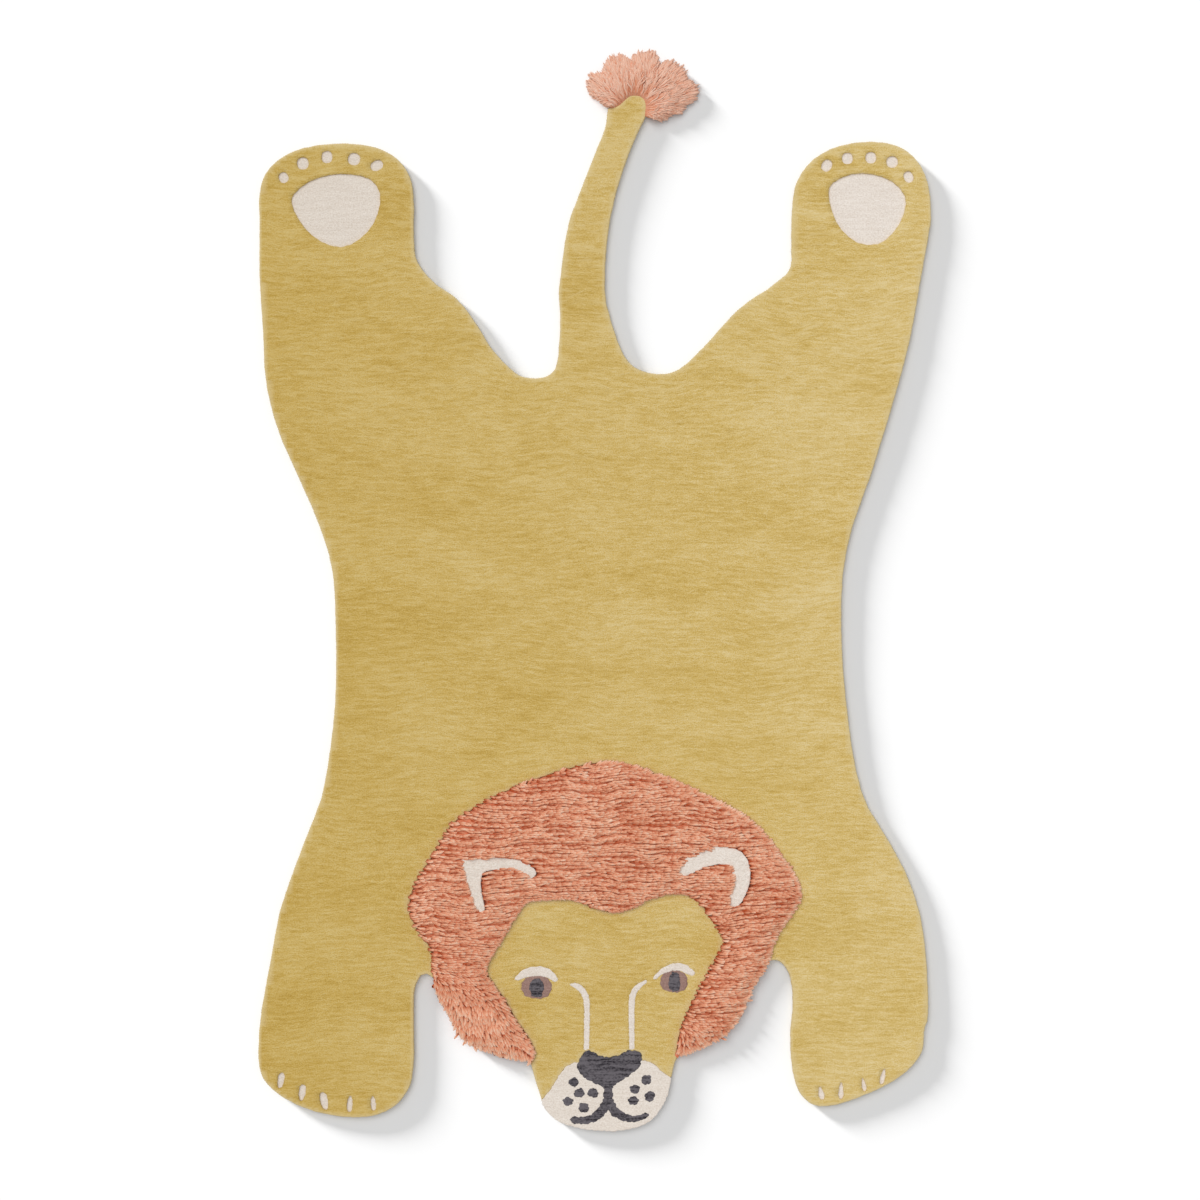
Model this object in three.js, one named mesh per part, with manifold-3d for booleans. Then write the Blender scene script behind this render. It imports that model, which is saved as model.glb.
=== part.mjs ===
import * as THREE from 'three';
import { mergeVertices } from 'three/addons/utils/BufferGeometryUtils.js';
import Module from 'manifold-3d';

const wasm = await Module();
wasm.setup();

// A child's floor rug in the outline of a lion lying flat, knotted in wool. Millimetres, +Z up, the
// underside on z = 0, the tail towards +Y and the nose towards -Y. The hide and the face are one
// flat solid of low cut pile. Every field of another yarn stands in a blind pocket of it, on the
// foundation that they share.

// Heights above the floor.
const FOUNDATION = 3;
const HIDE_TOP = 10;
const LOW_FIELD_TOP = 7.5;
const EAR_TOP = 19;
const MANE_RIM_TOP = 17;
const MANE_CROWN = 11;
const TUFT_RIM_TOP = 13;
const TUFT_CROWN = 7;

// Fits and edges.
const GAP = 0.3;
const SEAT = FOUNDATION + GAP;
const POCKET_TOP = 60;
const FIELD_ROUNDING = 1;
const HIDE_EDGE = [
  { z: 0, inset: 1 },
  { z: 5, inset: 0 },
  { z: 8.7, inset: 1 },
  { z: HIDE_TOP, inset: 3.4 },
];

// How finely a smooth outline is divided: the longest chord, and the most that it turns.
const HIDE_CHORD = 34;
const HIDE_TURN = THREE.MathUtils.degToRad(8);
const FIELD_CHORD = 14;
const FIELD_TURN = THREE.MathUtils.degToRad(20);
const SHORTEST_CHORD = 0.2;
const SHARPEST_MITRE = 0.6;
const CURVE_DIVISIONS = 4000;
const FINE_STEP = 1.5;
const PAW_POINTS = 10;
const OVAL_POINTS = 12;
const OVAL_SQUARENESS = 2.3;
const STROKE_CHORD = 11;
const STROKE_POINT = 0.33;
const ORIGIN = new THREE.Vector2();
const SCATTER = { place: 12.9898, salt: 78.233, reach: 43758.5453 };

// A table is written with its columns named once, and read as one object for each row.
function table(columns, ...rows) {
  return rows.map((row) => Object.fromEntries(columns.map((name, i) => [name, row[i]])));
}

// The trunk and the legs: how far the hide reaches to each side, from the hind paws to the front ones.
const FLANKS = table(['y', 'left', 'right'],
  [515, -472, 472],
  [440, -472, 459],
  [360, -467, 445],
  [293, -463, 428],
  [225, -446, 408],
  [158, -417, 387],
  [90, -388, 363],
  [28, -370, 350],
  [-60, -365, 347],
  [-160, -366, 354],
  [-245, -376, 366],
  [-298, -387, 381],
  [-349, -407, 411],
  [-400, -426, 438],
  [-455, -444, 457],
  [-530, -458, 467],
  [-605, -471, 468],
);

// The rounded ends of the legs. Tilt is how much further the inner side of a paw reaches.
const PAWS = {
  hindRight: { x: 375, y: 530, halfWidth: 98, reach: 100, squareness: 2.4, tilt: -8 },
  hindLeft: { x: -364, y: 546, halfWidth: 109, reach: 82, squareness: 2.4, tilt: 4 },
  frontLeft: { x: -364, y: -664, halfWidth: 109, reach: -76, squareness: 2.2, tilt: 16 },
  frontRight: { x: 370, y: -614, halfWidth: 95, reach: -100, squareness: 3, tilt: 36 },
};

// The rump, from the inner side of each hind leg down to the root of the tail.
const RUMP_RIGHT = table(['x', 'y'],
  [276, 490], [274, 452], [250, 429], [203, 396], [169, 360], [138, 327],
  [113, 308], [90, 304], [68, 308], [50, 318], [37, 338],
);
const RUMP_LEFT = table(['x', 'y'],
  [-52, 334], [-57, 310], [-68, 301], [-86, 298], [-106, 302], [-124, 316],
  [-148, 343], [-169, 377], [-196, 411], [-232, 438], [-251, 465], [-255, 500],
);

// The tail, and the foundation's tongue that carries the tuft past the tail's pile.
const TAIL = table(['y', 'left', 'right'],
  [372, -49, 25],
  [411, -51, 15],
  [462, -46, 15],
  [512, -38, 20],
  [563, -20, 31],
  [614, 0, 48],
  [650, 14, 63],
);
const TONGUE = table(['x', 'y'],
  [74, 672], [78, 690], [72, 706], [57, 714], [40, 710], [27, 698], [19, 680],
);

// From the middle of the chin to the right front paw, and from the left front paw back to the chin.
// Between the head and the paws the foundation's edge lies under the mane.
const CHIN_TO_PAW = table(['x', 'y'],
  [34, -760], [56, -756], [72, -750], [85, -739], [94, -727], [102, -710], [107, -690], [113, -664],
  [126, -645], [148, -633], [172, -617], [191, -600], [204, -580], [214, -559], [227, -537], [243, -523],
  [258, -522], [271, -536], [277, -558], [278, -590],
);
const PAW_TO_CHIN = table(['x', 'y'],
  [-255, -590], [-252, -556], [-240, -540], [-224, -550], [-210, -575], [-197, -598], [-185, -615],
  [-168, -628], [-147, -638], [-118, -648], [-96, -654], [-90, -668], [-85, -687], [-78, -708],
  [-73, -724], [-64, -736], [-50, -748], [-24, -756], [5, -760],
);

// The mane: how far its yarn reaches outwards, and its edge round the face. Both run from the foot
// on the left, over the top, to the foot on the right.
const MANE_REACH = table(['x', 'y'],
  [-94, -664], [-122, -660], [-156, -650], [-180, -639], [-196, -625], [-208, -602], [-231, -560],
  [-236, -543], [-233, -525], [-240, -502], [-256, -480], [-266, -458], [-267, -434], [-259, -411],
  [-232, -367], [-203, -322], [-170, -299], [-129, -277], [-73, -255], [-31, -243], [7, -236],
  [53, -242], [118, -266], [205, -310], [234, -333], [270, -379], [285, -402], [292, -433],
  [283, -450], [257, -491], [245, -527], [225, -559], [206, -602], [187, -625], [167, -638],
  [141, -650], [119, -657],
);
const FACE_EDGE = table(['x', 'y'],
  [-90, -664], [-86, -650], [-97, -626], [-113, -604], [-125, -581], [-141, -559], [-154, -537],
  [-151, -524], [-125, -480], [-111, -457], [-97, -439], [-66, -434], [-27, -435], [-4, -444],
  [24, -452], [51, -446], [76, -433], [114, -425], [144, -433], [156, -449], [171, -470],
  [183, -492], [175, -514], [162, -536], [138, -581], [127, -604], [119, -628], [115, -657],
);
const MANE_OVERHANG = 8;
const MANE_STEPS = 88;
const MANE_BANDS = 8;
const MANE_FOOT_SHARE = 0.07;
const HIDE_ENDS_Y = -549;
const FREE_RIM_CLEARANCE = 15;
const FREE_RIM_RAMP = 18;

// The mane's coarse furrows cross it from side to side, and waver.
const FURROW_PITCH = 30;
const FURROW_DEPTH = 3.2;
const FURROW_WAVER = 1.9;
const FURROW_WAVER_PITCH = 95;
const CLUMP_PITCH = 41;
const CLUMP_HEIGHT = 2;

// Locks of yarn: each is a ridge of three sides that thins to its tip.
const LOCK_ROOT_SHARE = 0.55;
const LOCK_STATIONS = [0, LOCK_ROOT_SHARE, 1];
const LOCK_THINNING = 0.72;
const LOCK_UNEVENNESS = 0.25;
const LOCK_LEAN = 0.6;
const LOCKS_FROM = 0.02;
const MANE_LOCKS = { count: 86, length: 26, width: 13, height: 8, tipHeight: 2.2, base: 10.6 };
const FACE_LOCKS = { count: 42, length: 20, width: 12, height: 7, tipHeight: 2, base: 10.6 };
const MANE_DROP = 6.4;

// The tuft: lobes of long yarn that fan out from the end of the tail and lie on the floor.
const TAIL_END = { x: 47, y: 688 };
const TAIL_END_EDGE = table(['x', 'y'],
  [72, 667], [73, 682], [70, 691], [63, 696], [49, 696], [41, 690], [36, 685], [30, 681], [19, 678],
);
const LOBES = table(['heading', 'reach', 'spread', 'locks'],
  [-17, 66, 20, 6],
  [-2, 90, 14, 4],
  [12, 106, 18, 6],
  [32, 99, 24, 8],
  [65, 82, 30, 9],
  [110, 73, 36, 10],
  [148, 69, 30, 8],
  [168, 50, 16, 4],
);
const LOBE_FALL = 0.5;
const TUFT_CORE_SHARE = 0.7;
const TUFT_CORE_LEAST = 36;
const TUFT_LOCK_ROOT = 7;
const TUFT_CLEARANCE = 12;
const TUFT_UNEVENNESS = 0.08;
const TUFT_LOCK = { width: 9, height: 8, tipHeight: 2, base: 4.2, drop: 4.2 };
const TUFT_FROM = -36;
const TUFT_TO = 196;
const TUFT_STEPS = 36;
const TUFT_BANDS = 4;

// Fields of low loop pile on the hind paws.
const PAD_LEFT = table(['x', 'y'],
  [-427, 550], [-408, 571], [-378, 583], [-346, 585], [-315, 577], [-302, 556], [-309, 520],
  [-330, 494], [-357, 482], [-389, 492], [-415, 518],
);
const PAD_RIGHT = table(['x', 'y'],
  [330, 567], [357, 584], [390, 585], [422, 572], [437, 551], [434, 527], [420, 503], [400, 487],
  [372, 487], [348, 505], [334, 530],
);
const TOES = table(['paw', 'x', 'y', 'width', 'height', 'tilt'],
  ['left', -438, 580, 14, 16, 20],
  ['left', -411, 600, 17, 18, 10],
  ['left', -377, 609, 16, 18, 0],
  ['left', -339, 606, 18, 18, -10],
  ['left', -307, 597, 19, 15, 25],
  ['right', 326, 597, 15, 18, -30],
  ['right', 355, 607, 16, 17, 0],
  ['right', 388, 608, 16, 17, 0],
  ['right', 418, 602, 17, 17, 0],
  ['right', 441, 581, 14, 17, 20],
);
const CLAWS = table(['paw', 'x', 'y', 'tilt'],
  ['left', -442, -690, 30],
  ['left', -412, -707, 16],
  ['left', -381, -719, 6],
  ['left', -345, -723, 0],
  ['left', -312, -722, -6],
  ['right', 318, -704, -4],
  ['right', 346, -702, 0],
  ['right', 378, -694, -8],
  ['right', 405, -682, -22],
);
const CLAW = { width: 8, height: 20 };

// The cream insides of the ears, and the brows.
const EAR_LEFT = table(['x', 'y'],
  [-183, -381], [-169, -379], [-153, -379], [-137, -376], [-117, -378], [-100, -383], [-87, -390],
  [-81, -399], [-89, -405], [-100, -399], [-114, -394], [-128, -392], [-142, -393], [-153, -396],
  [-158, -405], [-158, -422], [-155, -439], [-153, -449], [-159, -453], [-166, -448], [-172, -431],
  [-178, -414], [-182, -397],
);
const EAR_RIGHT = table(['x', 'y'],
  [118, -396], [130, -380], [148, -369], [169, -363], [190, -364], [205, -369], [215, -381],
  [219, -398], [217, -415], [210, -433], [200, -445], [191, -444], [190, -433], [194, -422],
  [197, -408], [195, -394], [187, -386], [172, -385], [155, -390], [141, -396], [128, -401],
);
const BROW_LEFT = table(['x', 'y'],
  [-113, -548], [-108.5, -540.5], [-100, -534], [-90, -530.5], [-77.5, -529.5], [-66, -532.5],
  [-57.5, -539], [-52, -548.5], [-56.5, -551], [-62, -547], [-69, -544], [-80, -542.5],
  [-91.5, -543], [-100, -545.5], [-107.5, -549],
);
const BROW_RIGHT = table(['x', 'y'],
  [82, -547], [86, -540], [94.5, -532], [105.5, -526.5], [117, -525], [128, -527.5], [135.5, -532.5],
  [140.5, -539.5], [136.5, -542], [129.5, -539], [119.5, -535], [108.5, -535], [100, -537.5],
  [91.5, -542], [86.5, -547],
);

// Bands of yarn drawn as strokes: the row gives the middle of the band and its width there.
const BRIDGE_LEFT = table(['x', 'y', 'width'],
  [-34, -555, 3], [-25, -557, 7], [-16, -566, 8], [-12, -577, 8], [-11.5, -610, 7], [-12, -645.8, 7],
);
const BRIDGE_RIGHT = table(['x', 'y', 'width'],
  [72, -550, 3], [63, -556, 6], [55, -565, 8], [52, -576, 8], [51.5, -610, 7], [52, -644.8, 7],
);
const PHILTRUM = table(['x', 'y', 'width'], [18.5, -686, 14], [18.5, -704, 12], [18.5, -722, 14]);
const MOUTH_LEFT = table(['x', 'y', 'width'],
  [18, -719, 12], [9, -733, 12], [-3, -743, 10], [-16, -746, 9], [-32, -745, 9],
);
const MOUTH_RIGHT = table(['x', 'y', 'width'],
  [19, -719, 12], [28, -733, 12], [40, -741, 10], [57, -744, 8], [73, -738, 6],
);

const NOSE = table(['x', 'y'],
  [-9, -648], [4, -655], [19, -658], [34, -655], [47, -648], [64, -651], [66, -657], [62, -670],
  [53, -679], [39, -688], [28, -696], [18, -700], [8, -696], [-4, -692], [-16, -684], [-24, -674],
  [-23, -664], [-16, -652],
);
// The muzzle's upper edge, from the right side of the chin to the left, and a path that goes back
// clear of the rug. The rest of the muzzle's outline is the rug's edge.
const MUZZLE_TOP = table(['x', 'y'],
  [108, -687], [97, -680], [86, -670], [76, -664], [60, -661], [20, -665], [-20, -664], [-34, -667],
  [-44, -674], [-53, -687], [-63, -704], [-75, -718],
);
const MUZZLE_BEYOND = table(['x', 'y'], [-120, -700], [-120, -800], [160, -800], [160, -660]);
const IRISES = table(['side', 'x', 'y', 'width', 'height'],
  ['left', -82, -558.5, 42, 32],
  ['right', 111, -550.5, 38, 30],
);
const PUPILS = table(['side', 'x', 'y', 'width', 'height'],
  ['left', -82, -559.5, 19, 27],
  ['right', 111.5, -551, 16, 27],
);
const WHISKER_SPOTS = table(['x', 'y', 'tilt'],
  [-30, -692, 0],
  [-22, -707, 20],
  [-3, -707, -20],
  [-38, -719, 0],
  [-16, -728, -10],
  [72, -689, 20],
  [56, -702, 0],
  [77, -712, 40],
  [54, -718, 0],
);
const WHISKER_SPOT = { width: 14, height: 12 };

// The yarns.
const YARNS = {
  ochre: { color: 0xccb06a, roughness: 0.95 },
  coral: { color: 0xd8977a, roughness: 1 },
  cream: { color: 0xe2d8ca, roughness: 0.95 },
  charcoal: { color: 0x56515a, roughness: 0.95 },
  brown: { color: 0x99796f, roughness: 0.95 },
};

// ---- Outlines ---------------------------------------------------------------------------------

// A smooth curve through the points, divided where it turns and at most a chord apart.
function smooth(points, closed, chord, turn) {
  const knots = points.map((p) => new THREE.Vector3(p.x, p.y, 0));
  const curve = new THREE.CatmullRomCurve3(knots, closed, 'centripetal');
  curve.arcLengthDivisions = CURVE_DIVISIONS;
  const fine = curve.getSpacedPoints(Math.ceil(curve.getLength() / FINE_STEP));
  const last = fine.length - 1;
  const step = (i) => fine[Math.min(i + 1, last)].clone().sub(fine[Math.min(i, last - 1)]);
  const kept = [fine[0]];
  let from = 0;
  for (let i = 1; i < last; i += 1) {
    const along = (i - from) * FINE_STEP;
    const swing = step(i).angleTo(step(from));
    const room = (last - i) * FINE_STEP >= chord * SHORTEST_CHORD;
    if (room && (along >= chord || (swing >= turn && along >= chord * SHORTEST_CHORD))) {
      kept.push(fine[i]);
      from = i;
    }
  }
  if (!closed) kept.push(fine[last]);
  return kept.map((p) => new THREE.Vector2(p.x, p.y));
}

// A smooth closed outline, counter-clockwise.
function smoothLoop(points, chord = FIELD_CHORD, turn = FIELD_TURN) {
  return counterClockwise(smooth(points, true, chord, turn));
}

function counterClockwise(loop) {
  return THREE.ShapeUtils.isClockWise(loop) ? loop.slice().reverse() : loop;
}

// Points moved to their left by an inset: inwards on a counter-clockwise loop.
function insetPath(points, inset, closed) {
  const last = points.length - 1;
  return points.map((p, i) => {
    const before = closed || i > 0 ? points[(i + last) % (last + 1)] : p;
    const after = closed || i < last ? points[(i + 1) % (last + 1)] : p;
    const a = p.clone().sub(before).normalize();
    const b = after.clone().sub(p).normalize();
    const along = a.clone().add(b).normalize();
    const mitre = 1 / Math.max(along.dot(b.lengthSq() > 0 ? b : a), SHARPEST_MITRE);
    const distance = (typeof inset === 'function' ? inset(p) : inset) * mitre;
    return new THREE.Vector2(p.x - along.y * distance, p.y + along.x * distance);
  });
}

function insetLoop(loop, inset) {
  return insetPath(loop, inset, true);
}

// A point on a superellipse of unit half-axes.
function superellipse(angle, squareness) {
  const shaped = (value) => Math.sign(value) * Math.abs(value) ** (2 / squareness);
  return { u: shaped(Math.cos(angle)), v: shaped(Math.sin(angle)) };
}

// The rounded end of a leg, from its right side to its left.
function pawEnd({ x, y, halfWidth, reach, squareness, tilt }) {
  const inner = -Math.sign(x);
  return Array.from({ length: PAW_POINTS }, (_, i) => {
    const { u, v } = superellipse((Math.PI * i) / (PAW_POINTS - 1), squareness);
    return { x: x + u * halfWidth, y: y + v * (reach + Math.sign(reach) * tilt * u * inner) };
  });
}

function oval({ x, y, width, height, tilt = 0 }) {
  const middle = new THREE.Vector2(x, y);
  const turn = THREE.MathUtils.degToRad(tilt);
  return Array.from({ length: OVAL_POINTS }, (_, i) => {
    const { u, v } = superellipse((2 * Math.PI * (i + 0.5)) / OVAL_POINTS, OVAL_SQUARENESS);
    return new THREE.Vector2(x + (u * width) / 2, y + (v * height) / 2).rotateAround(middle, turn);
  });
}

// The outline of a band of yarn, from the middle line and the width that its rows give.
function stroke(rows) {
  const line = new THREE.CatmullRomCurve3(rows.map((r) => new THREE.Vector3(r.x, r.y, r.width)));
  const steps = Math.ceil(line.getLength() / STROKE_CHORD);
  const right = [];
  const left = [];
  for (let i = 0; i <= steps; i += 1) {
    const { x, y, z: width } = line.getPoint(i / steps);
    const along = line.getTangent(i / steps).setZ(0).normalize();
    right.push(new THREE.Vector2(x + (along.y * width) / 2, y - (along.x * width) / 2));
    left.unshift(new THREE.Vector2(x - (along.y * width) / 2, y + (along.x * width) / 2));
    const point = new THREE.Vector2(along.x, along.y).multiplyScalar(width * STROKE_POINT);
    if (i === 0) left.push(new THREE.Vector2(x, y).sub(point));
    if (i === steps) right.push(new THREE.Vector2(x, y).add(point));
  }
  return counterClockwise([...right, ...left]);
}

// A number from 0 to 1 that looks random but is always the same for a place.
function scatter(place, salt) {
  const value = Math.sin(place * SCATTER.place + salt * SCATTER.salt) * SCATTER.reach;
  return value - Math.floor(value);
}

// ---- Solids -----------------------------------------------------------------------------------

// A closed geometry from its corners and triangles, turned so that its faces point out.
function closedGeometry(corners, triangles) {
  const geometry = new THREE.BufferGeometry();
  const places = corners.flatMap((corner) => corner.toArray());
  geometry.setAttribute('position', new THREE.Float32BufferAttribute(places, 3));
  const volume = triangles.reduce(
    (sum, [a, b, c]) => sum + corners[a].dot(new THREE.Vector3().crossVectors(corners[b], corners[c])),
    0,
  );
  geometry.setIndex(triangles.flatMap(([a, b, c]) => (volume > 0 ? [a, b, c] : [a, c, b])));
  return geometry;
}

// An outline raised through a profile of heights, with its inset at each.
function slab(loop, profile) {
  const count = loop.length;
  const rings = profile.map(({ inset }) => insetLoop(loop, inset));
  const corners = rings.flatMap((ring, k) => ring.map((p) => new THREE.Vector3(p.x, p.y, profile[k].z)));
  const triangles = [];
  for (let k = 0; k < rings.length - 1; k += 1) {
    for (let i = 0; i < count; i += 1) {
      const [a, b] = [k * count + i, k * count + ((i + 1) % count)];
      triangles.push([a, b, b + count], [a, b + count, a + count]);
    }
  }
  const topStart = (rings.length - 1) * count;
  THREE.ShapeUtils.triangulateShape(rings[0], []).forEach(([a, b, c]) => triangles.push([a, c, b]));
  THREE.ShapeUtils.triangulateShape(rings.at(-1), []).forEach(([a, b, c]) => {
    triangles.push([a + topStart, b + topStart, c + topStart]);
  });
  return closedGeometry(corners, triangles);
}

function prism(loop, bottom, top) {
  return slab(loop, [{ z: bottom, inset: 0 }, { z: top, inset: 0 }]);
}

// A lumpy slab between two edges that run the same way. topAt gives its height above the floor at
// a share of the way along and a share of the way across.
function bandSlab(inner, outer, bands, topAt) {
  const row = bands + 1;
  const corners = [];
  inner.forEach((p, i) => {
    for (let j = 0; j <= bands; j += 1) {
      const q = p.clone().lerp(outer[i], j / bands);
      corners.push(new THREE.Vector3(q.x, q.y, topAt(i / (inner.length - 1), j / bands, q)));
    }
  });
  const under = corners.length;
  inner.forEach((p, i) => {
    corners.push(new THREE.Vector3(p.x, p.y, SEAT), new THREE.Vector3(outer[i].x, outer[i].y, SEAT));
  });
  const triangles = [];
  for (let i = 0; i < inner.length - 1; i += 1) {
    const [a, b] = [i * row, (i + 1) * row];
    const [c, d] = [under + 2 * i, under + 2 * i + 2];
    for (let j = 0; j < bands; j += 1) {
      triangles.push([a + j, b + j, b + j + 1], [a + j, b + j + 1, a + j + 1]);
    }
    triangles.push([a, c, d], [a, d, b]);
    triangles.push([a + bands, b + bands, d + 1], [a + bands, d + 1, c + 1]);
    triangles.push([c, c + 1, d + 1], [c, d + 1, d]);
  }
  [0, inner.length - 1].forEach((i) => {
    const fan = [under + 2 * i + 1];
    for (let j = bands; j >= 0; j -= 1) fan.push(i * row + j);
    fan.push(under + 2 * i);
    for (let k = 1; k < fan.length - 1; k += 1) {
      triangles.push(i === 0 ? [fan[0], fan[k + 1], fan[k]] : [fan[0], fan[k], fan[k + 1]]);
    }
  });
  return closedGeometry(corners, triangles);
}

// One lock of yarn: a ridge of three sides from its root along its heading.
function lock({ root, heading, length, width, height, tipHeight, base, drop }) {
  const corners = LOCK_STATIONS.flatMap((share) => {
    const middle = root.clone().add(new THREE.Vector2(length * share, 0).rotateAround(ORIGIN, heading));
    const half = (width / 2) * (1 - LOCK_THINNING * share);
    const side = new THREE.Vector2(0, half).rotateAround(ORIGIN, heading);
    const low = base - (drop * Math.max(share - LOCK_ROOT_SHARE, 0)) / (1 - LOCK_ROOT_SHARE);
    const ridge = low + THREE.MathUtils.lerp(height, tipHeight, share);
    return [
      new THREE.Vector3(middle.x - side.x, middle.y - side.y, low),
      new THREE.Vector3(middle.x + side.x, middle.y + side.y, low),
      new THREE.Vector3(middle.x, middle.y, ridge),
    ];
  });
  const end = corners.length - 3;
  const triangles = [[0, 2, 1], [end, end + 1, end + 2]];
  for (let k = 0; k < end; k += 3) {
    for (let i = 0; i < 3; i += 1) {
      const j = (i + 1) % 3;
      triangles.push([k + i, k + j, k + 3 + j], [k + i, k + 3 + j, k + 3 + i]);
    }
  }
  return closedGeometry(corners, triangles);
}

function toSolid(geometry) {
  const merged = mergeVertices(geometry);
  return new wasm.Manifold(new wasm.Mesh({
    numProp: 3,
    vertProperties: merged.attributes.position.array,
    triVerts: Uint32Array.from(merged.index.array),
  }));
}

function toGeometry(solid) {
  const mesh = solid.getMesh();
  const geometry = new THREE.BufferGeometry();
  geometry.setAttribute('position', new THREE.BufferAttribute(mesh.vertProperties, 3));
  geometry.setIndex(new THREE.BufferAttribute(mesh.triVerts, 1));
  return geometry;
}

function join(geometries) {
  return geometries.map(toSolid).reduce((sum, solid) => sum.add(solid));
}

function cut(solid, pieces) {
  return pieces.reduce((rest, piece) => rest.subtract(piece), solid);
}

// ---- Fields of yarn ---------------------------------------------------------------------------

// A field of its own yarn, given as the outlines that make it up.
function field(loops, top) {
  const edge = [
    { z: SEAT, inset: 0 },
    { z: top - FIELD_ROUNDING, inset: 0 },
    { z: top, inset: FIELD_ROUNDING },
  ];
  return join(loops.map((loop) => slab(loop, edge)));
}

// The pocket that a field stands in, down to the foundation and a gap wider all round.
function pocket(loops, bottom = FOUNDATION) {
  return join(loops.map((loop) => prism(insetLoop(loop, -GAP), bottom, POCKET_TOP)));
}

// ---- The pieces -------------------------------------------------------------------------------

// The rug's whole outline, counter-clockwise from the middle of the chin.
function rugOutline() {
  const side = (rows, name) => rows.map((row) => ({ x: row[name], y: row.y }));
  const down = (rows) => rows.slice().reverse();
  return smoothLoop([
    ...CHIN_TO_PAW,
    ...down(pawEnd(PAWS.frontRight)),
    ...down(side(FLANKS, 'right')),
    ...pawEnd(PAWS.hindRight),
    ...RUMP_RIGHT,
    ...side(TAIL, 'right'),
    ...TONGUE,
    ...down(side(TAIL, 'left')),
    ...RUMP_LEFT,
    ...pawEnd(PAWS.hindLeft),
    ...side(FLANKS, 'left'),
    ...down(pawEnd(PAWS.frontLeft)),
    ...PAW_TO_CHIN,
  ], HIDE_CHORD, HIDE_TURN);
}

// A path divided into equal steps.
function evenPath(rows, steps) {
  const curve = new THREE.CatmullRomCurve3(rows.map((r) => new THREE.Vector3(r.x, r.y, 0)));
  curve.arcLengthDivisions = CURVE_DIVISIONS;
  return curve.getSpacedPoints(steps).map((p) => new THREE.Vector2(p.x, p.y));
}

// The mane's edges: round the face, and round the outside short of the locks' tips.
const maneInner = evenPath(FACE_EDGE, MANE_STEPS);
const maneOuter = insetPath(evenPath(MANE_REACH, MANE_STEPS), -MANE_OVERHANG, false);

function maneHeight(along, across, { x, y }) {
  const crown = Math.sqrt(Math.sin(Math.PI * across));
  const foot = THREE.MathUtils.smoothstep(Math.min(along, 1 - along), 0, MANE_FOOT_SHARE);
  const waver = FURROW_WAVER * Math.sin((2 * Math.PI * x) / FURROW_WAVER_PITCH);
  const furrow = FURROW_DEPTH * Math.sin((2 * Math.PI * y) / FURROW_PITCH + waver);
  const clump = CLUMP_HEIGHT * Math.sin((2 * Math.PI * (x + y / 2)) / CLUMP_PITCH);
  return MANE_RIM_TOP + crown * foot * (MANE_CROWN + furrow + clump);
}

// Locks along a path, rooted inside it and pointing to its left (side 1) or its right (side -1).
function rimLocks(path, size, side, dropAt) {
  return Array.from({ length: size.count }, (_, i) => {
    const share = THREE.MathUtils.lerp(LOCKS_FROM, 1 - LOCKS_FROM, (i + 0.5) / size.count);
    const place = share * (path.length - 1);
    const k = Math.floor(place);
    const along = path[k + 1].clone().sub(path[k]);
    const lean = LOCK_LEAN * (scatter(i, 1) - 0.5);
    const heading = along.angle() + (side * Math.PI) / 2 + lean;
    const back = new THREE.Vector2(-size.length * LOCK_ROOT_SHARE, 0).rotateAround(ORIGIN, heading);
    const root = path[k].clone().addScaledVector(along, place - k).add(back);
    const length = size.length * (1 - LOCK_UNEVENNESS * scatter(i, 2));
    return lock({ ...size, root, heading, length, drop: dropAt(root) });
  });
}

function maneSolid(ears) {
  const body = bandSlab(maneInner, maneOuter, MANE_BANDS, maneHeight);
  const outer = rimLocks(maneOuter, MANE_LOCKS, 1, (p) => (p.y < HIDE_ENDS_Y ? MANE_DROP : 0));
  const inner = rimLocks(maneInner, FACE_LOCKS, -1, () => 0);
  return join([body, ...outer, ...inner]).subtract(pocket(ears, 0));
}

// The pocket of a lumpy slab. Where its outer edge lies past the hide, the pocket runs on past the
// foundation's edge by what clear gives for a point.
function bandPocket(inner, outer, clear) {
  return pocket([counterClockwise([...inner, ...insetPath(outer, clear, false).reverse()])]);
}

function maneClearance({ y }) {
  return FREE_RIM_CLEARANCE * THREE.MathUtils.smoothstep(HIDE_ENDS_Y - y, 0, FREE_RIM_RAMP);
}

// How far the tuft's yarn reaches at a heading in degrees.
function tuftReach(heading) {
  const reaches = LOBES.map((lobe) => {
    const off = (heading - lobe.heading) / lobe.spread;
    return lobe.reach * Math.max(1 - LOBE_FALL * off * off, 0);
  });
  return Math.max(...reaches);
}

// How far the tuft's core reaches at that heading. Past it, the locks lie apart.
function tuftCore(heading) {
  return Math.max(TUFT_CORE_SHARE * tuftReach(heading), TUFT_CORE_LEAST);
}

// A place in the tuft, from the end of the tail.
function fromTailEnd(heading, distance) {
  const turn = THREE.MathUtils.degToRad(heading);
  return new THREE.Vector2(distance, 0).rotateAround(ORIGIN, turn).add(TAIL_END);
}

const tuftInner = evenPath(TAIL_END_EDGE, TUFT_STEPS);
const tuftOuter = tuftInner.map((_, i) => {
  const heading = THREE.MathUtils.lerp(TUFT_FROM, TUFT_TO, i / TUFT_STEPS);
  return fromTailEnd(heading, tuftCore(heading));
});

function tuftHeight(along, across) {
  const crown = Math.sin(Math.PI * across) * Math.sqrt(Math.sin(Math.PI * along));
  const clump = CLUMP_HEIGHT * Math.sin(2 * Math.PI * LOBES.length * along);
  return TUFT_RIM_TOP + crown * (TUFT_CROWN + clump);
}

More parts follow.
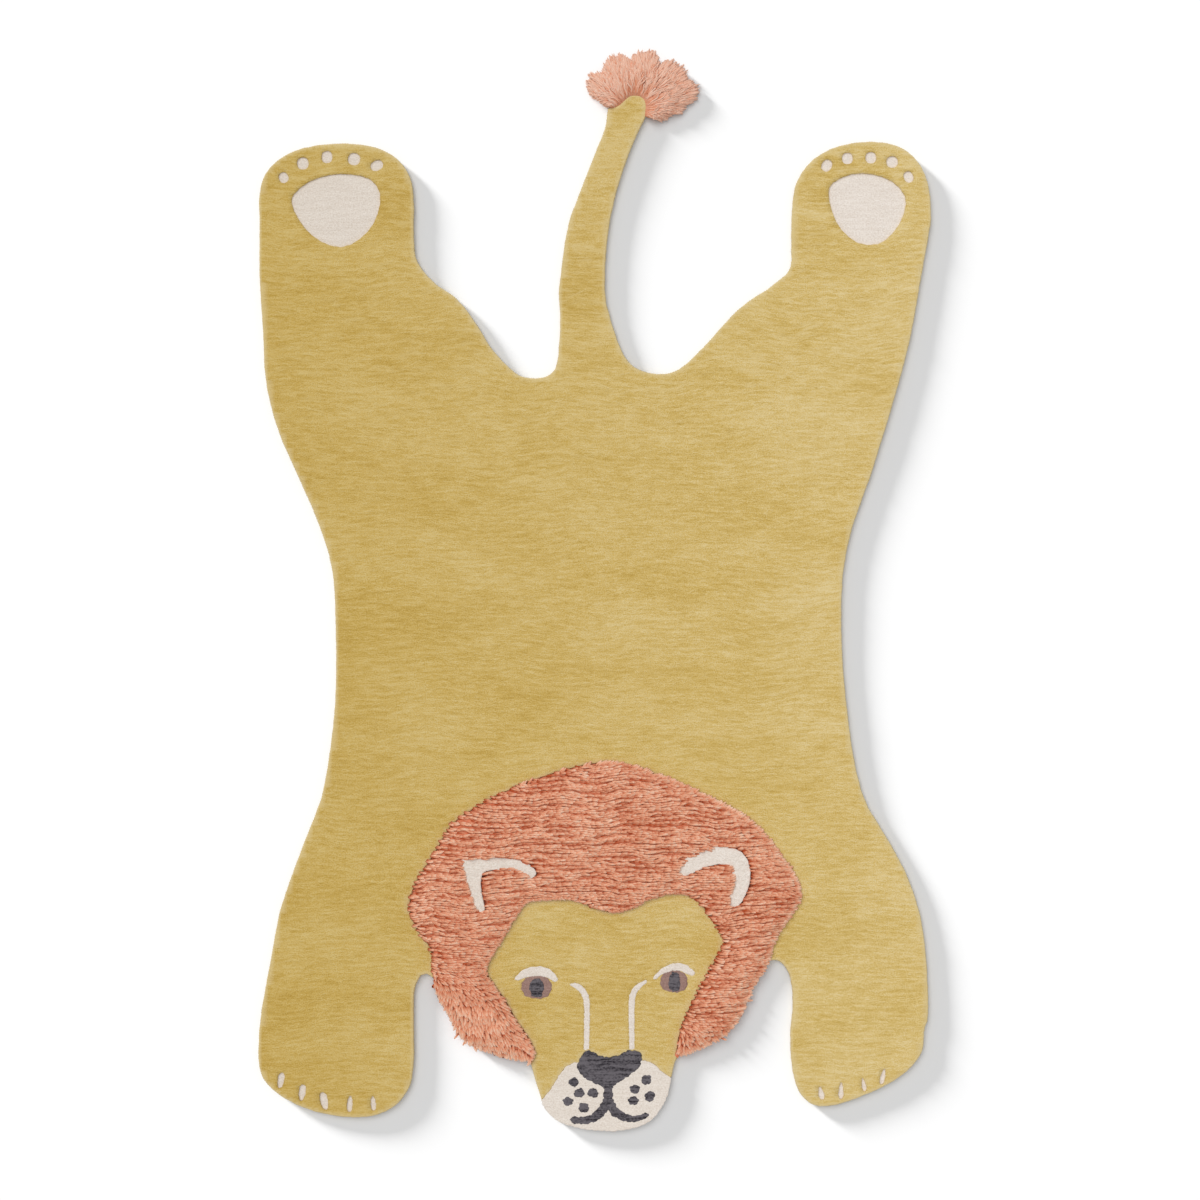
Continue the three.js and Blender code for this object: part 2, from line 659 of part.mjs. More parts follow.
function tuftSolid() {
  const locks = LOBES.flatMap(({ heading, spread, locks: count }, k) => {
    return Array.from({ length: count }, (_, i) => {
      const turned = heading + spread * ((i + 0.5) / count - 0.5);
      const far = tuftReach(turned) * (1 - TUFT_UNEVENNESS * scatter(i, k));
      const near = tuftCore(turned) - TUFT_LOCK_ROOT;
      const turn = THREE.MathUtils.degToRad(turned);
      return lock({ ...TUFT_LOCK, root: fromTailEnd(turned, near), heading: turn, length: far - near });
    });
  });
  return join([bandSlab(tuftInner, tuftOuter, TUFT_BANDS, tuftHeight), ...locks]);
}

// Every field that stands in the pile, apart from the muzzle, which reaches the rug's edge.
function fieldList() {
  const numbered = (name, rows, yarn, top, outline) => {
    const seen = {};
    return rows.map((row) => {
      const stem = row.paw ? `${name}_${row.paw}` : name;
      seen[stem] = (seen[stem] ?? 0) + 1;
      return { name: `${stem}_${seen[stem]}`, yarn, top, loops: [outline(row)] };
    });
  };
  const sided = (name, rows, yarn) => rows.map((row) => {
    return { name: `${name}_${row.side}`, yarn, top: HIDE_TOP, loops: [oval(row)] };
  });
  const cream = (name, loop) => ({ name, yarn: 'cream', top: HIDE_TOP, loops: [loop] });
  const claw = (row) => oval({ ...row, ...CLAW });
  const spot = (row) => oval({ ...row, ...WHISKER_SPOT });
  const noseLoops = [smoothLoop(NOSE), stroke(PHILTRUM), stroke(MOUTH_LEFT), stroke(MOUTH_RIGHT)];
  return [
    { name: 'pad_left', yarn: 'cream', top: LOW_FIELD_TOP, loops: [smoothLoop(PAD_LEFT)] },
    { name: 'pad_right', yarn: 'cream', top: LOW_FIELD_TOP, loops: [smoothLoop(PAD_RIGHT)] },
    ...numbered('toe', TOES, 'cream', LOW_FIELD_TOP, oval),
    ...numbered('claw', CLAWS, 'cream', LOW_FIELD_TOP, claw),
    cream('brow_left', smoothLoop(BROW_LEFT)),
    cream('brow_right', smoothLoop(BROW_RIGHT)),
    cream('bridge_left', stroke(BRIDGE_LEFT)),
    cream('bridge_right', stroke(BRIDGE_RIGHT)),
    ...sided('iris', IRISES, 'brown'),
    ...sided('pupil', PUPILS, 'charcoal'),
    { name: 'nose_mouth', yarn: 'charcoal', top: HIDE_TOP, loops: noseLoops },
    ...numbered('whisker_spot', WHISKER_SPOTS, 'charcoal', HIDE_TOP, spot),
  ];
}

// The muzzle is the chin end of the rug, from its upper edge down.
function muzzleRegion(inset) {
  const top = smooth(MUZZLE_TOP, false, FIELD_CHORD, FIELD_TURN);
  const beyond = MUZZLE_BEYOND.map((p) => new THREE.Vector2(p.x, p.y));
  const loop = counterClockwise([...top, ...beyond]);
  return prism(insetLoop(loop, inset), inset < 0 ? FOUNDATION : SEAT, POCKET_TOP);
}

function mesh(name, yarn, solid) {
  const material = new THREE.MeshStandardMaterial({ ...YARNS[yarn], metalness: 0 });
  const made = new THREE.Mesh(toGeometry(solid), material);
  made.name = name;
  return made;
}

// ---- The rug ----------------------------------------------------------------------------------

const whole = toSolid(slab(rugOutline(), HIDE_EDGE));
const fields = fieldList();
const ears = [
  { name: 'ear_left', loops: [smoothLoop(EAR_LEFT)] },
  { name: 'ear_right', loops: [smoothLoop(EAR_RIGHT)] },
];
const rug = new THREE.Group();

const fieldPockets = fields.map((each) => pocket(each.loops));
const pockets = [
  ...fieldPockets,
  toSolid(muzzleRegion(-GAP)),
  bandPocket(maneInner, maneOuter, maneClearance),
  bandPocket(tuftInner, tuftOuter, -TUFT_CLEARANCE),
];
rug.add(mesh('rug_body', 'ochre', cut(whole, pockets)));
rug.add(mesh('mane', 'coral', maneSolid(ears.flatMap((ear) => ear.loops))));
rug.add(mesh('tail_tuft', 'coral', tuftSolid()));
ears.forEach((ear) => rug.add(mesh(ear.name, 'cream', field(ear.loops, EAR_TOP))));

rug.add(mesh('muzzle', 'cream', cut(whole.intersect(toSolid(muzzleRegion(0))), fieldPockets)));

// An iris stops at its pupil and under its brow.
fields.forEach((each) => {
  const around = fields.filter((other) => {
    return ['pupil', 'brow'].some((stem) => other.name === each.name.replace('iris', stem));
  });
  const neighbours = each.name.startsWith('iris') ? around.map((other) => pocket(other.loops)) : [];
  rug.add(mesh(each.name, each.yarn, cut(field(each.loops, each.top), neighbours)));
});

// The origin is on the floor, at the middle of the rug's box.
const reach = new THREE.Box3().setFromObject(rug);
const middle = reach.getCenter(new THREE.Vector3());
rug.position.set(-middle.x, -middle.y, 0);

const lionRug = new THREE.Group();
lionRug.add(rug);

export default lionRug;
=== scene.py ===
"""A lion shaped wool rug for a child's room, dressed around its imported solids.

A cotton ground weave carries everything. A low ochre pile covers it in the
lion's outline, small fields of cream, brown and charcoal pile are let into
that, a shag mane frames the face, and a tuft of long yarn ends the tail.
"""

import logging
import math
from collections.abc import Callable
from dataclasses import dataclass, field
from enum import Enum
from functools import cache

import bpy
import numpy as np
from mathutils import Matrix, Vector
from mathutils.bvhtree import BVHTree
from mathutils.geometry import delaunay_2d_cdt
from mathutils.kdtree import KDTree


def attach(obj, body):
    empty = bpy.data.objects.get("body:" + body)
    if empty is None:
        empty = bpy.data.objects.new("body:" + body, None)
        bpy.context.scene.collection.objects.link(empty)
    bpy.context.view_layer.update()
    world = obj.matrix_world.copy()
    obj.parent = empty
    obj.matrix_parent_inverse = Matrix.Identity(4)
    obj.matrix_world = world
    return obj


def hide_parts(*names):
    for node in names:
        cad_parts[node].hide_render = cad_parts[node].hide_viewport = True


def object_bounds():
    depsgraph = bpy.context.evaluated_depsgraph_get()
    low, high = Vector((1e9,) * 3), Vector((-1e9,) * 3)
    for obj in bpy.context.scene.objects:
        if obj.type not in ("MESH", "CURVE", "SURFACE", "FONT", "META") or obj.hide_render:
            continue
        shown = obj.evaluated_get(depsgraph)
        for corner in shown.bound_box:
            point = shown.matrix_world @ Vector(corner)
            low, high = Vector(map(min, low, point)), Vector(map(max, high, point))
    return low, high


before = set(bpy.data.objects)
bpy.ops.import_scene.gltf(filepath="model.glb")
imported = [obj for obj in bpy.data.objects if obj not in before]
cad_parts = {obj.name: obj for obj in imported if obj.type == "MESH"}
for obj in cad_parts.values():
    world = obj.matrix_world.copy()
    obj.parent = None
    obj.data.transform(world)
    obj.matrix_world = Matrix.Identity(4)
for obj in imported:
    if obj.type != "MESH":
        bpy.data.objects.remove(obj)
CAD_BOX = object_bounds()

MM = 0.001
PER_RUG_WIDTH = 1.06
ROOT = "root"

Colour = tuple[float, float, float, float]
Surface = Callable[[np.ndarray, np.ndarray], np.ndarray]

NONE: Colour = (0.0, 0.0, 0.0, 1.0)
WHOLE: Colour = (1.0, 1.0, 1.0, 1.0)

log = logging.getLogger("rug")


class Slot(Enum):
    """The record's material slots."""

    OCHRE = "ochre"
    CORAL = "coral"
    CREAM = "cream"
    BROWN = "brown"
    CHARCOAL = "charcoal"


def srgb(red: int, green: int, blue: int) -> Colour:
    """Turns a colour in 0 to 255 display steps into linear light.

    Args:
        red: Red, 0 to 255.
        green: Green, 0 to 255.
        blue: Blue, 0 to 255.

    Returns:
        The linear colour with an alpha of 1.
    """
    knee, slope, lift, power = 0.04045, 12.92, 0.055, 2.4
    linear = []
    for step in (red, green, blue):
        value = step / 255
        linear.append(value / slope if value <= knee else ((value + lift) / (1 + lift)) ** power)
    return (*linear, 1.0)


# ---------------------------------------------------------------- shapes


def eased(value: np.ndarray, low: float, high: float) -> np.ndarray:
    """Rises smoothly from 0 at the low value to 1 at the high one."""
    share = np.clip((value - low) / (high - low), 0, 1)
    return share * share * (3 - 2 * share)


def level(height: float) -> Surface:
    """Returns a surface that is level at a height."""
    return lambda x, y: np.full(len(x), height)


class Grain:
    """Smooth random values over the plane, the same on every run."""

    SIDE = 256

    def __init__(self, seed: int) -> None:
        """Fills the table of values from a fixed seed."""
        self.table = np.random.default_rng(seed).uniform(-1.0, 1.0, (self.SIDE, self.SIDE))

    def at(self, x: np.ndarray, y: np.ndarray) -> np.ndarray:
        """Reads the grain, which changes over a distance of about 1.

        Args:
            x: First coordinates.
            y: Second coordinates.

        Returns:
            A value from -1 to 1 for each point.
        """
        column, row = np.floor(x).astype(int), np.floor(y).astype(int)
        u, v = x - column, y - row
        u, v = u * u * (3 - 2 * u), v * v * (3 - 2 * v)
        left, right = column % self.SIDE, (column + 1) % self.SIDE
        low, high = row % self.SIDE, (row + 1) % self.SIDE
        near = self.table[left, low] * (1 - u) + self.table[right, low] * u
        far = self.table[left, high] * (1 - u) + self.table[right, high] * u
        return near * (1 - v) + far * v


def grains_from(*seeds: int) -> tuple[Grain, ...]:
    """Makes a grain from each seed."""
    return tuple(Grain(seed) for seed in seeds)


@dataclass
class Loop:
    """A closed line on the plan, with the pile on its left."""

    points: np.ndarray

    def is_outer(self) -> bool:
        """Says whether the loop runs round the pile and not round a hole."""
        x, y = self.points.T
        return float(np.sum(x * np.roll(y, -1) - np.roll(x, -1) * y)) > 0

    def outward(self) -> np.ndarray:
        """Finds the way out of the pile at each point.

        Returns:
            A direction of length 1 for each point.
        """
        along = np.roll(self.points, -1, 0) - np.roll(self.points, 1, 0)
        along /= np.maximum(np.linalg.norm(along, axis=1, keepdims=True), 1e-12)
        return np.column_stack([along[:, 1], -along[:, 0]])

    def shifted(self, x: float, y: float) -> "Loop":
        """Returns the loop shifted as a whole."""
        return Loop(self.points + (x, y))

    def moved(self, amount: np.ndarray | float) -> "Loop":
        """Returns the loop moved out of the pile by an amount in metres."""
        shift = np.broadcast_to(amount, len(self.points))[:, None]
        return Loop(self.points + self.outward() * shift)

    def evened(self, step: float, corner: float = math.radians(38)) -> "Loop":
        """Rounds the loop's chords into one smooth line of even steps.

        Args:
            step: Distance between the new points, in metres.
            corner: A turn sharper than this stays a corner, in radians.

        Returns:
            The smooth loop, with an even number of points.
        """
        here = self.points
        chord = np.roll(here, -1, 0) - here
        length = np.linalg.norm(chord, axis=1)
        slope = chord / length[:, None]
        before, back = np.roll(slope, 1, 0), np.roll(length, 1)
        mean = (before * length[:, None] + slope * back[:, None]) / (length + back)[:, None]
        turn = np.arccos(np.clip(np.sum(before * slope, 1), -1, 1))
        sharp = (turn > corner)[:, None]
        leave, arrive = np.where(sharp, slope, mean), np.where(sharp, before, mean)
        arrive = np.roll(arrive, -1, 0)
        dense = []
        for i, size in enumerate(length):
            parts = max(2, math.ceil(size / (step * 0.25)))
            t = (np.arange(parts) / parts)[:, None]
            a, b = here[i], here[(i + 1) % len(here)]
            dense.append(
                a * (2 * t**3 - 3 * t**2 + 1)
                + b * (3 * t**2 - 2 * t**3)
                + leave[i] * size * (t**3 - 2 * t**2 + t)
                + arrive[i] * size * (t**3 - t**2)
            )
        line = np.vstack([*dense, dense[0][:1]])
        run = np.concatenate([[0], np.cumsum(np.linalg.norm(np.diff(line, axis=0), axis=1))])
        count = max(8, 2 * round(run[-1] / step / 2))
        at = np.arange(count) * run[-1] / count
        return Loop(np.column_stack([np.interp(at, run, line[:, k]) for k in (0, 1)]))


def node_mesh(node: str) -> tuple[np.ndarray, np.ndarray]:
    """Reads a CAD node.

    Args:
        node: The node's name.

    Returns:
        Its vertices and its triangles.
    """
    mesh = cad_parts[node].data
    mesh.calc_loop_triangles()
    vertices = np.empty(len(mesh.vertices) * 3, np.float32)
    mesh.vertices.foreach_get("co", vertices)
    triangles = np.empty(len(mesh.loop_triangles) * 3, np.int32)
    mesh.loop_triangles.foreach_get("vertices", triangles)
    return vertices.reshape(-1, 3).astype(float), triangles.reshape(-1, 3)


def crossing(triangle: np.ndarray, height: float) -> list[np.ndarray]:
    """Cuts a triangle that a level plane crosses.

    Args:
        triangle: Its three corners.
        height: The plane's height, in metres.

    Returns:
        The two ends of the cut on the plan, with the solid on its left.
    """
    normal = np.cross(triangle[1] - triangle[0], triangle[2] - triangle[0])
    ends = []
    for a, b in ((0, 1), (1, 2), (2, 0)):
        low, high = sorted((triangle[a], triangle[b]), key=lambda p: p[2])
        if low[2] <= height < high[2]:
            ends.append((low + (high - low) * (height - low[2]) / (high[2] - low[2]))[:2])
    way = ends[1] - ends[0]
    if -way[0] * normal[1] + way[1] * normal[0] < 0:
        ends.reverse()
    return ends


@cache
def cut_loops(node: str, height: float) -> list[Loop]:
    """Cuts a CAD node with a level plane.

    Args:
        node: The node's name.
        height: The plane's height, in metres.

    Returns:
        The closed loops of the cut, with the solid on their left.
    """
    vertices, triangles = node_mesh(node)
    corner = vertices[triangles]
    above = corner[:, :, 2] > height
    crossed = corner[above.any(1) & ~above.all(1)]
    follows = {}
    for triangle in crossed:
        ends = crossing(triangle, height)
        if not np.array_equal(ends[0], ends[1]):
            follows[ends[0].tobytes()] = ends
    loops = []
    while follows:
        key = next(iter(follows))
        line = []
        while key in follows:
            start, end = follows.pop(key)
            line.append(start)
            key = end.tobytes()
        loops.append(Loop(np.array(line)))
    return loops


def edges_of(loops: list[Loop]) -> tuple[np.ndarray, np.ndarray]:
    """Lists every side of some loops.

    Args:
        loops: The loops.

    Returns:
        The sides' first points and their last points.
    """
    return (
        np.vstack([loop.points for loop in loops]),
        np.vstack([np.roll(loop.points, -1, 0) for loop in loops]),
    )


def inside(loops: list[Loop], points: np.ndarray) -> np.ndarray:
    """Tests which points lie on the pile.

    Args:
        loops: The pile's loops, holes among them.
        points: The points to test.

    Returns:
        A true value for each point that an odd number of loops go round.
    """
    start, end = edges_of(loops)
    rise = np.where(end[:, 1] == start[:, 1], 1e-12, end[:, 1] - start[:, 1])
    found = np.zeros(len(points), bool)
    chunk = 4000
    for first in range(0, len(points), chunk):
        x, y = points[first : first + chunk, :, None].transpose(1, 0, 2)
        crossed = (start[:, 1] <= y) != (end[:, 1] <= y)
        at = start[:, 0] + (y - start[:, 1]) * (end[:, 0] - start[:, 0]) / rise
        found[first : first + chunk] = np.sum(crossed & (at > x), 1) % 2 == 1
    return found


class Rims:
    """Finds the nearest point on the rims of some pile."""

    def __init__(self, loops: list[Loop]) -> None:
        """Gathers the loops' points, directions and kinds.

        Args:
            loops: The pile's loops.
        """
        self.points = np.vstack([loop.points for loop in loops])
        self.ways = np.vstack([loop.outward() for loop in loops])
        self.outer = np.concatenate([np.full(len(p.points), p.is_outer()) for p in loops])
        self.tree = KDTree(len(self.points))
        for i, (x, y) in enumerate(self.points):
            self.tree.insert((x, y, 0), i)
        self.tree.balance()

    def nearest(self, points: np.ndarray) -> tuple[np.ndarray, np.ndarray]:
        """Finds the rim nearest to each point.

        Args:
            points: Points on the plan.

        Returns:
            The distances, and which of the rim's points are nearest.
        """
        found = [self.tree.find((x, y, 0))[1:] for x, y in points]
        return np.array([f[1] for f in found]), np.array([f[0] for f in found])


def grid_inside(loops: list[Loop], across: float, along: float, margin: float) -> np.ndarray:
    """Lays a grid of points over some pile.

    Args:
        loops: The pile's loops.
        across: Distance between points of a row, in metres.
        along: Distance between rows, in metres.
        margin: How far the points stay from the loops, in metres.

    Returns:
        The points.
    """
    start, end = edges_of(loops)
    low, high = start.min(0), start.max(0)
    rows = np.arange(math.floor(low[1] / along), math.ceil(high[1] / along)) * along
    columns = np.arange(math.floor(low[0] / across), math.ceil(high[0] / across)) * across
    laid = []
    for y in rows:
        crossed = (start[:, 1] <= y) != (end[:, 1] <= y)
        a, b = start[crossed], end[crossed]
        cuts = np.sort(a[:, 0] + (y - a[:, 1]) * (b[:, 0] - a[:, 0]) / (b[:, 1] - a[:, 1]))
        x = columns[np.searchsorted(cuts, columns) % 2 == 1]
        laid.append(np.column_stack([x, np.full(len(x), y)]))
    points = np.vstack(laid)
    if not len(points):
        return points
    return points[Rims(loops).nearest(points)[0] > margin]


def filled(loops: list[Loop], grid: np.ndarray) -> tuple[np.ndarray, np.ndarray]:
    """Covers the space inside some loops with triangles.

    Args:
        loops: The loops, holes among them.
        grid: Points that lie inside.

    Returns:
        The points, those of the loops first, and the triangles, which face up.
    """
    rim = np.vstack([loop.points for loop in loops])
    sides, first = [], 0
    for loop in loops:
        count = len(loop.points)
        sides += [(first + i, first + (i + 1) % count) for i in range(count)]
        first += count
    given = [Vector(p) for p in np.vstack([rim, grid]).tolist()]
    made, _, faces, sources, _, _ = delaunay_2d_cdt(given, sides, [], 0, 1e-9)
    points = np.array([p[:] for p in made])
    order = np.full(len(points), -1)
    spare = len(given)
    for i, source in enumerate(sources):
        if source:
            order[i] = source[0]
        else:
            order[i] = spare
            spare += 1
    placed = np.zeros((spare, 2))
    placed[: len(given)] = np.vstack([rim, grid])
    placed[order] = points
    triangles = order[np.array([f for f in faces if len(f) == 3])]
    centre = placed[triangles].mean(1)
    sure = ((triangles >= len(rim)) & (triangles < len(given))).any(1)
    sure[~sure] = inside(loops, centre[~sure])
    triangles = triangles[sure]
    a, b, c = placed[triangles].transpose(1, 0, 2)
    turn = (b - a)[:, 0] * (c - a)[:, 1] - (b - a)[:, 1] * (c - a)[:, 0]
    triangles[turn < 0] = triangles[turn < 0][:, ::-1]
    return placed, triangles


def piece(
    name: str,
    vertices: np.ndarray,
    triangles: np.ndarray,
    values: dict[str, np.ndarray] | None = None,
) -> bpy.types.Object:
    """Makes a smooth mesh object that rides on the rug.

    Args:
        name: The piece's name.
        vertices: Its vertices.
        triangles: Its triangles.
        values: Numbers to keep on its vertices, by name.

    Returns:
        The object.
    """
    mesh = bpy.data.meshes.new(name)
    mesh.vertices.add(len(vertices))
    mesh.vertices.foreach_set("co", vertices.astype(np.float32).ravel())
    mesh.loops.add(triangles.size)
    mesh.loops.foreach_set("vertex_index", triangles.astype(np.int32).ravel())
    mesh.polygons.add(len(triangles))
    mesh.polygons.foreach_set("loop_start", np.arange(0, triangles.size, 3, dtype=np.int32))
    mesh.polygons.foreach_set("use_smooth", np.ones(len(triangles), bool))
    mesh.update(calc_edges=True)
    mesh.validate()
    for key, numbers in (values or {}).items():
        attribute = mesh.attributes.new(key, "FLOAT", "POINT")
        attribute.data.foreach_set("value", numbers.astype(np.float32))
    made = bpy.data.objects.new(name, mesh)
    bpy.context.scene.collection.objects.link(made)
    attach(made, ROOT)
    return made


@dataclass(frozen=True)
class Ring:
    """One ring of a pile's wall, by how far in it is and its share of the height."""

    inset: float
    share: float


SOFT_WALL = (
    Ring(0.9 * MM, 0.0),
    Ring(0.2 * MM, 0.12),
    Ring(0.0, 0.45),
    Ring(0.35 * MM, 0.78),
    Ring(1.1 * MM, 0.94),
    Ring(2.1 * MM, 1.0),
)
TIGHT_WALL = (
    Ring(0.0, 0.0),
    Ring(0.0, 0.6),
    Ring(0.0, 0.95),
    Ring(0.12 * MM, 1.0),
)


@dataclass
class Pile:
    """A closed body of cut pile between its loops, from its foot to its surface."""

    loops: list[Loop]
    foot: float
    surface: Surface
    across: float
    along: float
    margin: float = 1.2 * MM
    outer_wall: tuple[Ring, ...] = SOFT_WALL
    inner_wall: tuple[Ring, ...] = TIGHT_WALL
    wander: float = 0.0
    wander_grain: Grain = field(default_factory=lambda: Grain(71))

    def grid(self, top: list[Loop]) -> np.ndarray:
        """Lays the points of the surface inside its rim, in wandering rows.

        Args:
            top: The surface's rim.

        Returns:
            The points.
        """
        points = grid_inside(top, self.across, self.along, self.margin + self.wander)
        if self.wander and len(points):
            x, y = points.T
            points[:, 1] += self.wander * self.wander_grain.at(x / 0.045, y / 0.03)
        return points

    def wall(self, loop: Loop) -> tuple[Ring, ...]:
        """Chooses the rings of a loop's wall, from the foot up.

        Args:
            loop: One of the pile's loops.

        Returns:
            The rings.
        """
        if loop.is_outer():
            return self.outer_wall
        missing = len(self.outer_wall) - len(self.inner_wall)
        return (self.inner_wall[0],) * missing + self.inner_wall

    def made(self, name: str) -> bpy.types.Object:
        """Builds the body.

        Args:
            name: The piece's name.

        Returns:
            The object.
        """
        sizes = [len(loop.points) for loop in self.loops]
        walls = [self.wall(loop) for loop in self.loops]
        levels = range(len(self.outer_wall))
        rings = [
            [loop.moved(-wall[i].inset) for loop, wall in zip(self.loops, walls, strict=True)]
            for i in levels
        ]
        shares = [np.repeat([wall[i].share for wall in walls], sizes) for i in levels]
        plan, cover = filled(rings[-1], self.grid(rings[-1]))
        floor_plan, floor_cover = filled(rings[0], np.zeros((0, 2)))
        rim = sum(sizes)
        vertices = []
        for ring, share in zip(rings[:-1], shares[:-1], strict=True):
            flat = np.vstack([loop.points for loop in ring])
            height = self.foot + (self.surface(*flat.T) - self.foot) * share
            vertices.append(np.column_stack([flat, height]))
        below = len(vertices) * rim
        vertices.append(np.column_stack([plan, self.surface(*plan.T)]))
        extra = floor_plan[rim:]
        vertices.append(np.column_stack([extra, np.full(len(extra), self.foot)]))
        floor_cover = np.where(
            floor_cover < rim, floor_cover, floor_cover - rim + below + len(plan)
        )
        faces = [cover + below, floor_cover[:, ::-1]]
        first = 0
        for size in sizes:
            here = first + np.arange(size)
            after = first + (np.arange(size) + 1) % size
            for low in range(0, below, rim):
                faces.append(np.column_stack([here + low, after + low, after + low + rim]))
                faces.append(np.column_stack([here + low, after + low + rim, here + low + rim]))
            first += size
        vertices = np.vstack(vertices)
        # Marks the outer walls, which carry a painted highlight on the ochre pile.
        rim_highlight_mask = np.zeros(len(vertices))
        outer = np.repeat([float(loop.is_outer()) for loop in self.loops], sizes)
        rim_highlight_mask[: below + rim] = np.tile(outer, len(levels))
        return piece(name, vertices, np.vstack(faces), {"rim": rim_highlight_mask})


@dataclass
class Yarns:
    """Many yarns of one piece, given by centre lines and half thicknesses."""

    lines: np.ndarray
    radii: np.ndarray
    tones: np.ndarray
    sides: int = 5
    askew: tuple[float, float, float] = (0.31, 0.52, 0.79)
    root_cap: float = 0.3
    tip_cap: float = 0.9

    def made(self, name: str) -> bpy.types.Object:
        """Sweeps every yarn into a closed tube with a blunt point.

        Args:
            name: The piece's name.

        Returns:
            The object, with each yarn's tone and the reach along it on its vertices.
        """
        number, stations = self.radii.shape
        along = np.gradient(self.lines, axis=1)
        along /= np.linalg.norm(along, axis=2, keepdims=True)
        beside = np.cross(along, self.askew)
        beside /= np.linalg.norm(beside, axis=2, keepdims=True)
        third = np.cross(along, beside)
        turn = np.arange(self.sides) * 2 * math.pi / self.sides
        spoke = (
            beside[:, :, None] * np.cos(turn)[:, None] + third[:, :, None] * np.sin(turn)[:, None]
        )
        rings = self.lines[:, :, None] + spoke * self.radii[:, :, None, None]
        root = self.lines[:, :1] - along[:, :1] * self.radii[:, :1, None] * self.root_cap
        tip = self.lines[:, -1:] + along[:, -1:] * self.radii[:, -1:, None] * self.tip_cap
        body = rings.reshape(number, -1, 3)
        vertices = np.concatenate([body, root, tip], 1)
        each = vertices.shape[1]
        pattern = []
        side = np.arange(self.sides)
        after = (side + 1) % self.sides
        for low in range(0, (stations - 1) * self.sides, self.sides):
            high = low + self.sides
            pattern.append(np.column_stack([side + low, after + low, after + high]))
            pattern.append(np.column_stack([side + low, after + high, side + high]))
        last = (stations - 1) * self.sides
        pattern.append(np.column_stack([after, side, np.full(self.sides, each - 2)]))
        pattern.append(np.column_stack([side + last, after + last, np.full(self.sides, each - 1)]))
        pattern = np.vstack(pattern)
        faces = pattern[None] + (np.arange(number) * each)[:, None, None]
        reach = np.repeat(np.linspace(0, 1, stations), self.sides)
        reach = np.tile(np.concatenate([reach, [0, 1]]), number)
        values = {"reach": reach, "tone": np.repeat(self.tones, each)}
        return piece(name, vertices.reshape(-1, 3), faces.reshape(-1, 3), values)


class Heights:
    """Reads the height of a CAD node's upper surface."""

    def __init__(self, node: str) -> None:
        """Prepares the node's triangles for looking down on them."""
        vertices, triangles = node_mesh(node)
        self.tree = BVHTree.FromPolygons(vertices.tolist(), triangles.tolist())

    def at(self, points: np.ndarray) -> np.ndarray:
        """Looks down at the node from above each point.

        Args:
            points: Points on the plan.

        Returns:
            The heights in metres, which are nan beside the node.
        """
        down = Vector((0, 0, -1))
        found = [self.tree.ray_cast(Vector((x, y, 1)), down)[0] for x, y in points]
        return np.array([math.nan if hit is None else hit.z for hit in found])


# ---------------------------------------------------------------- finishes


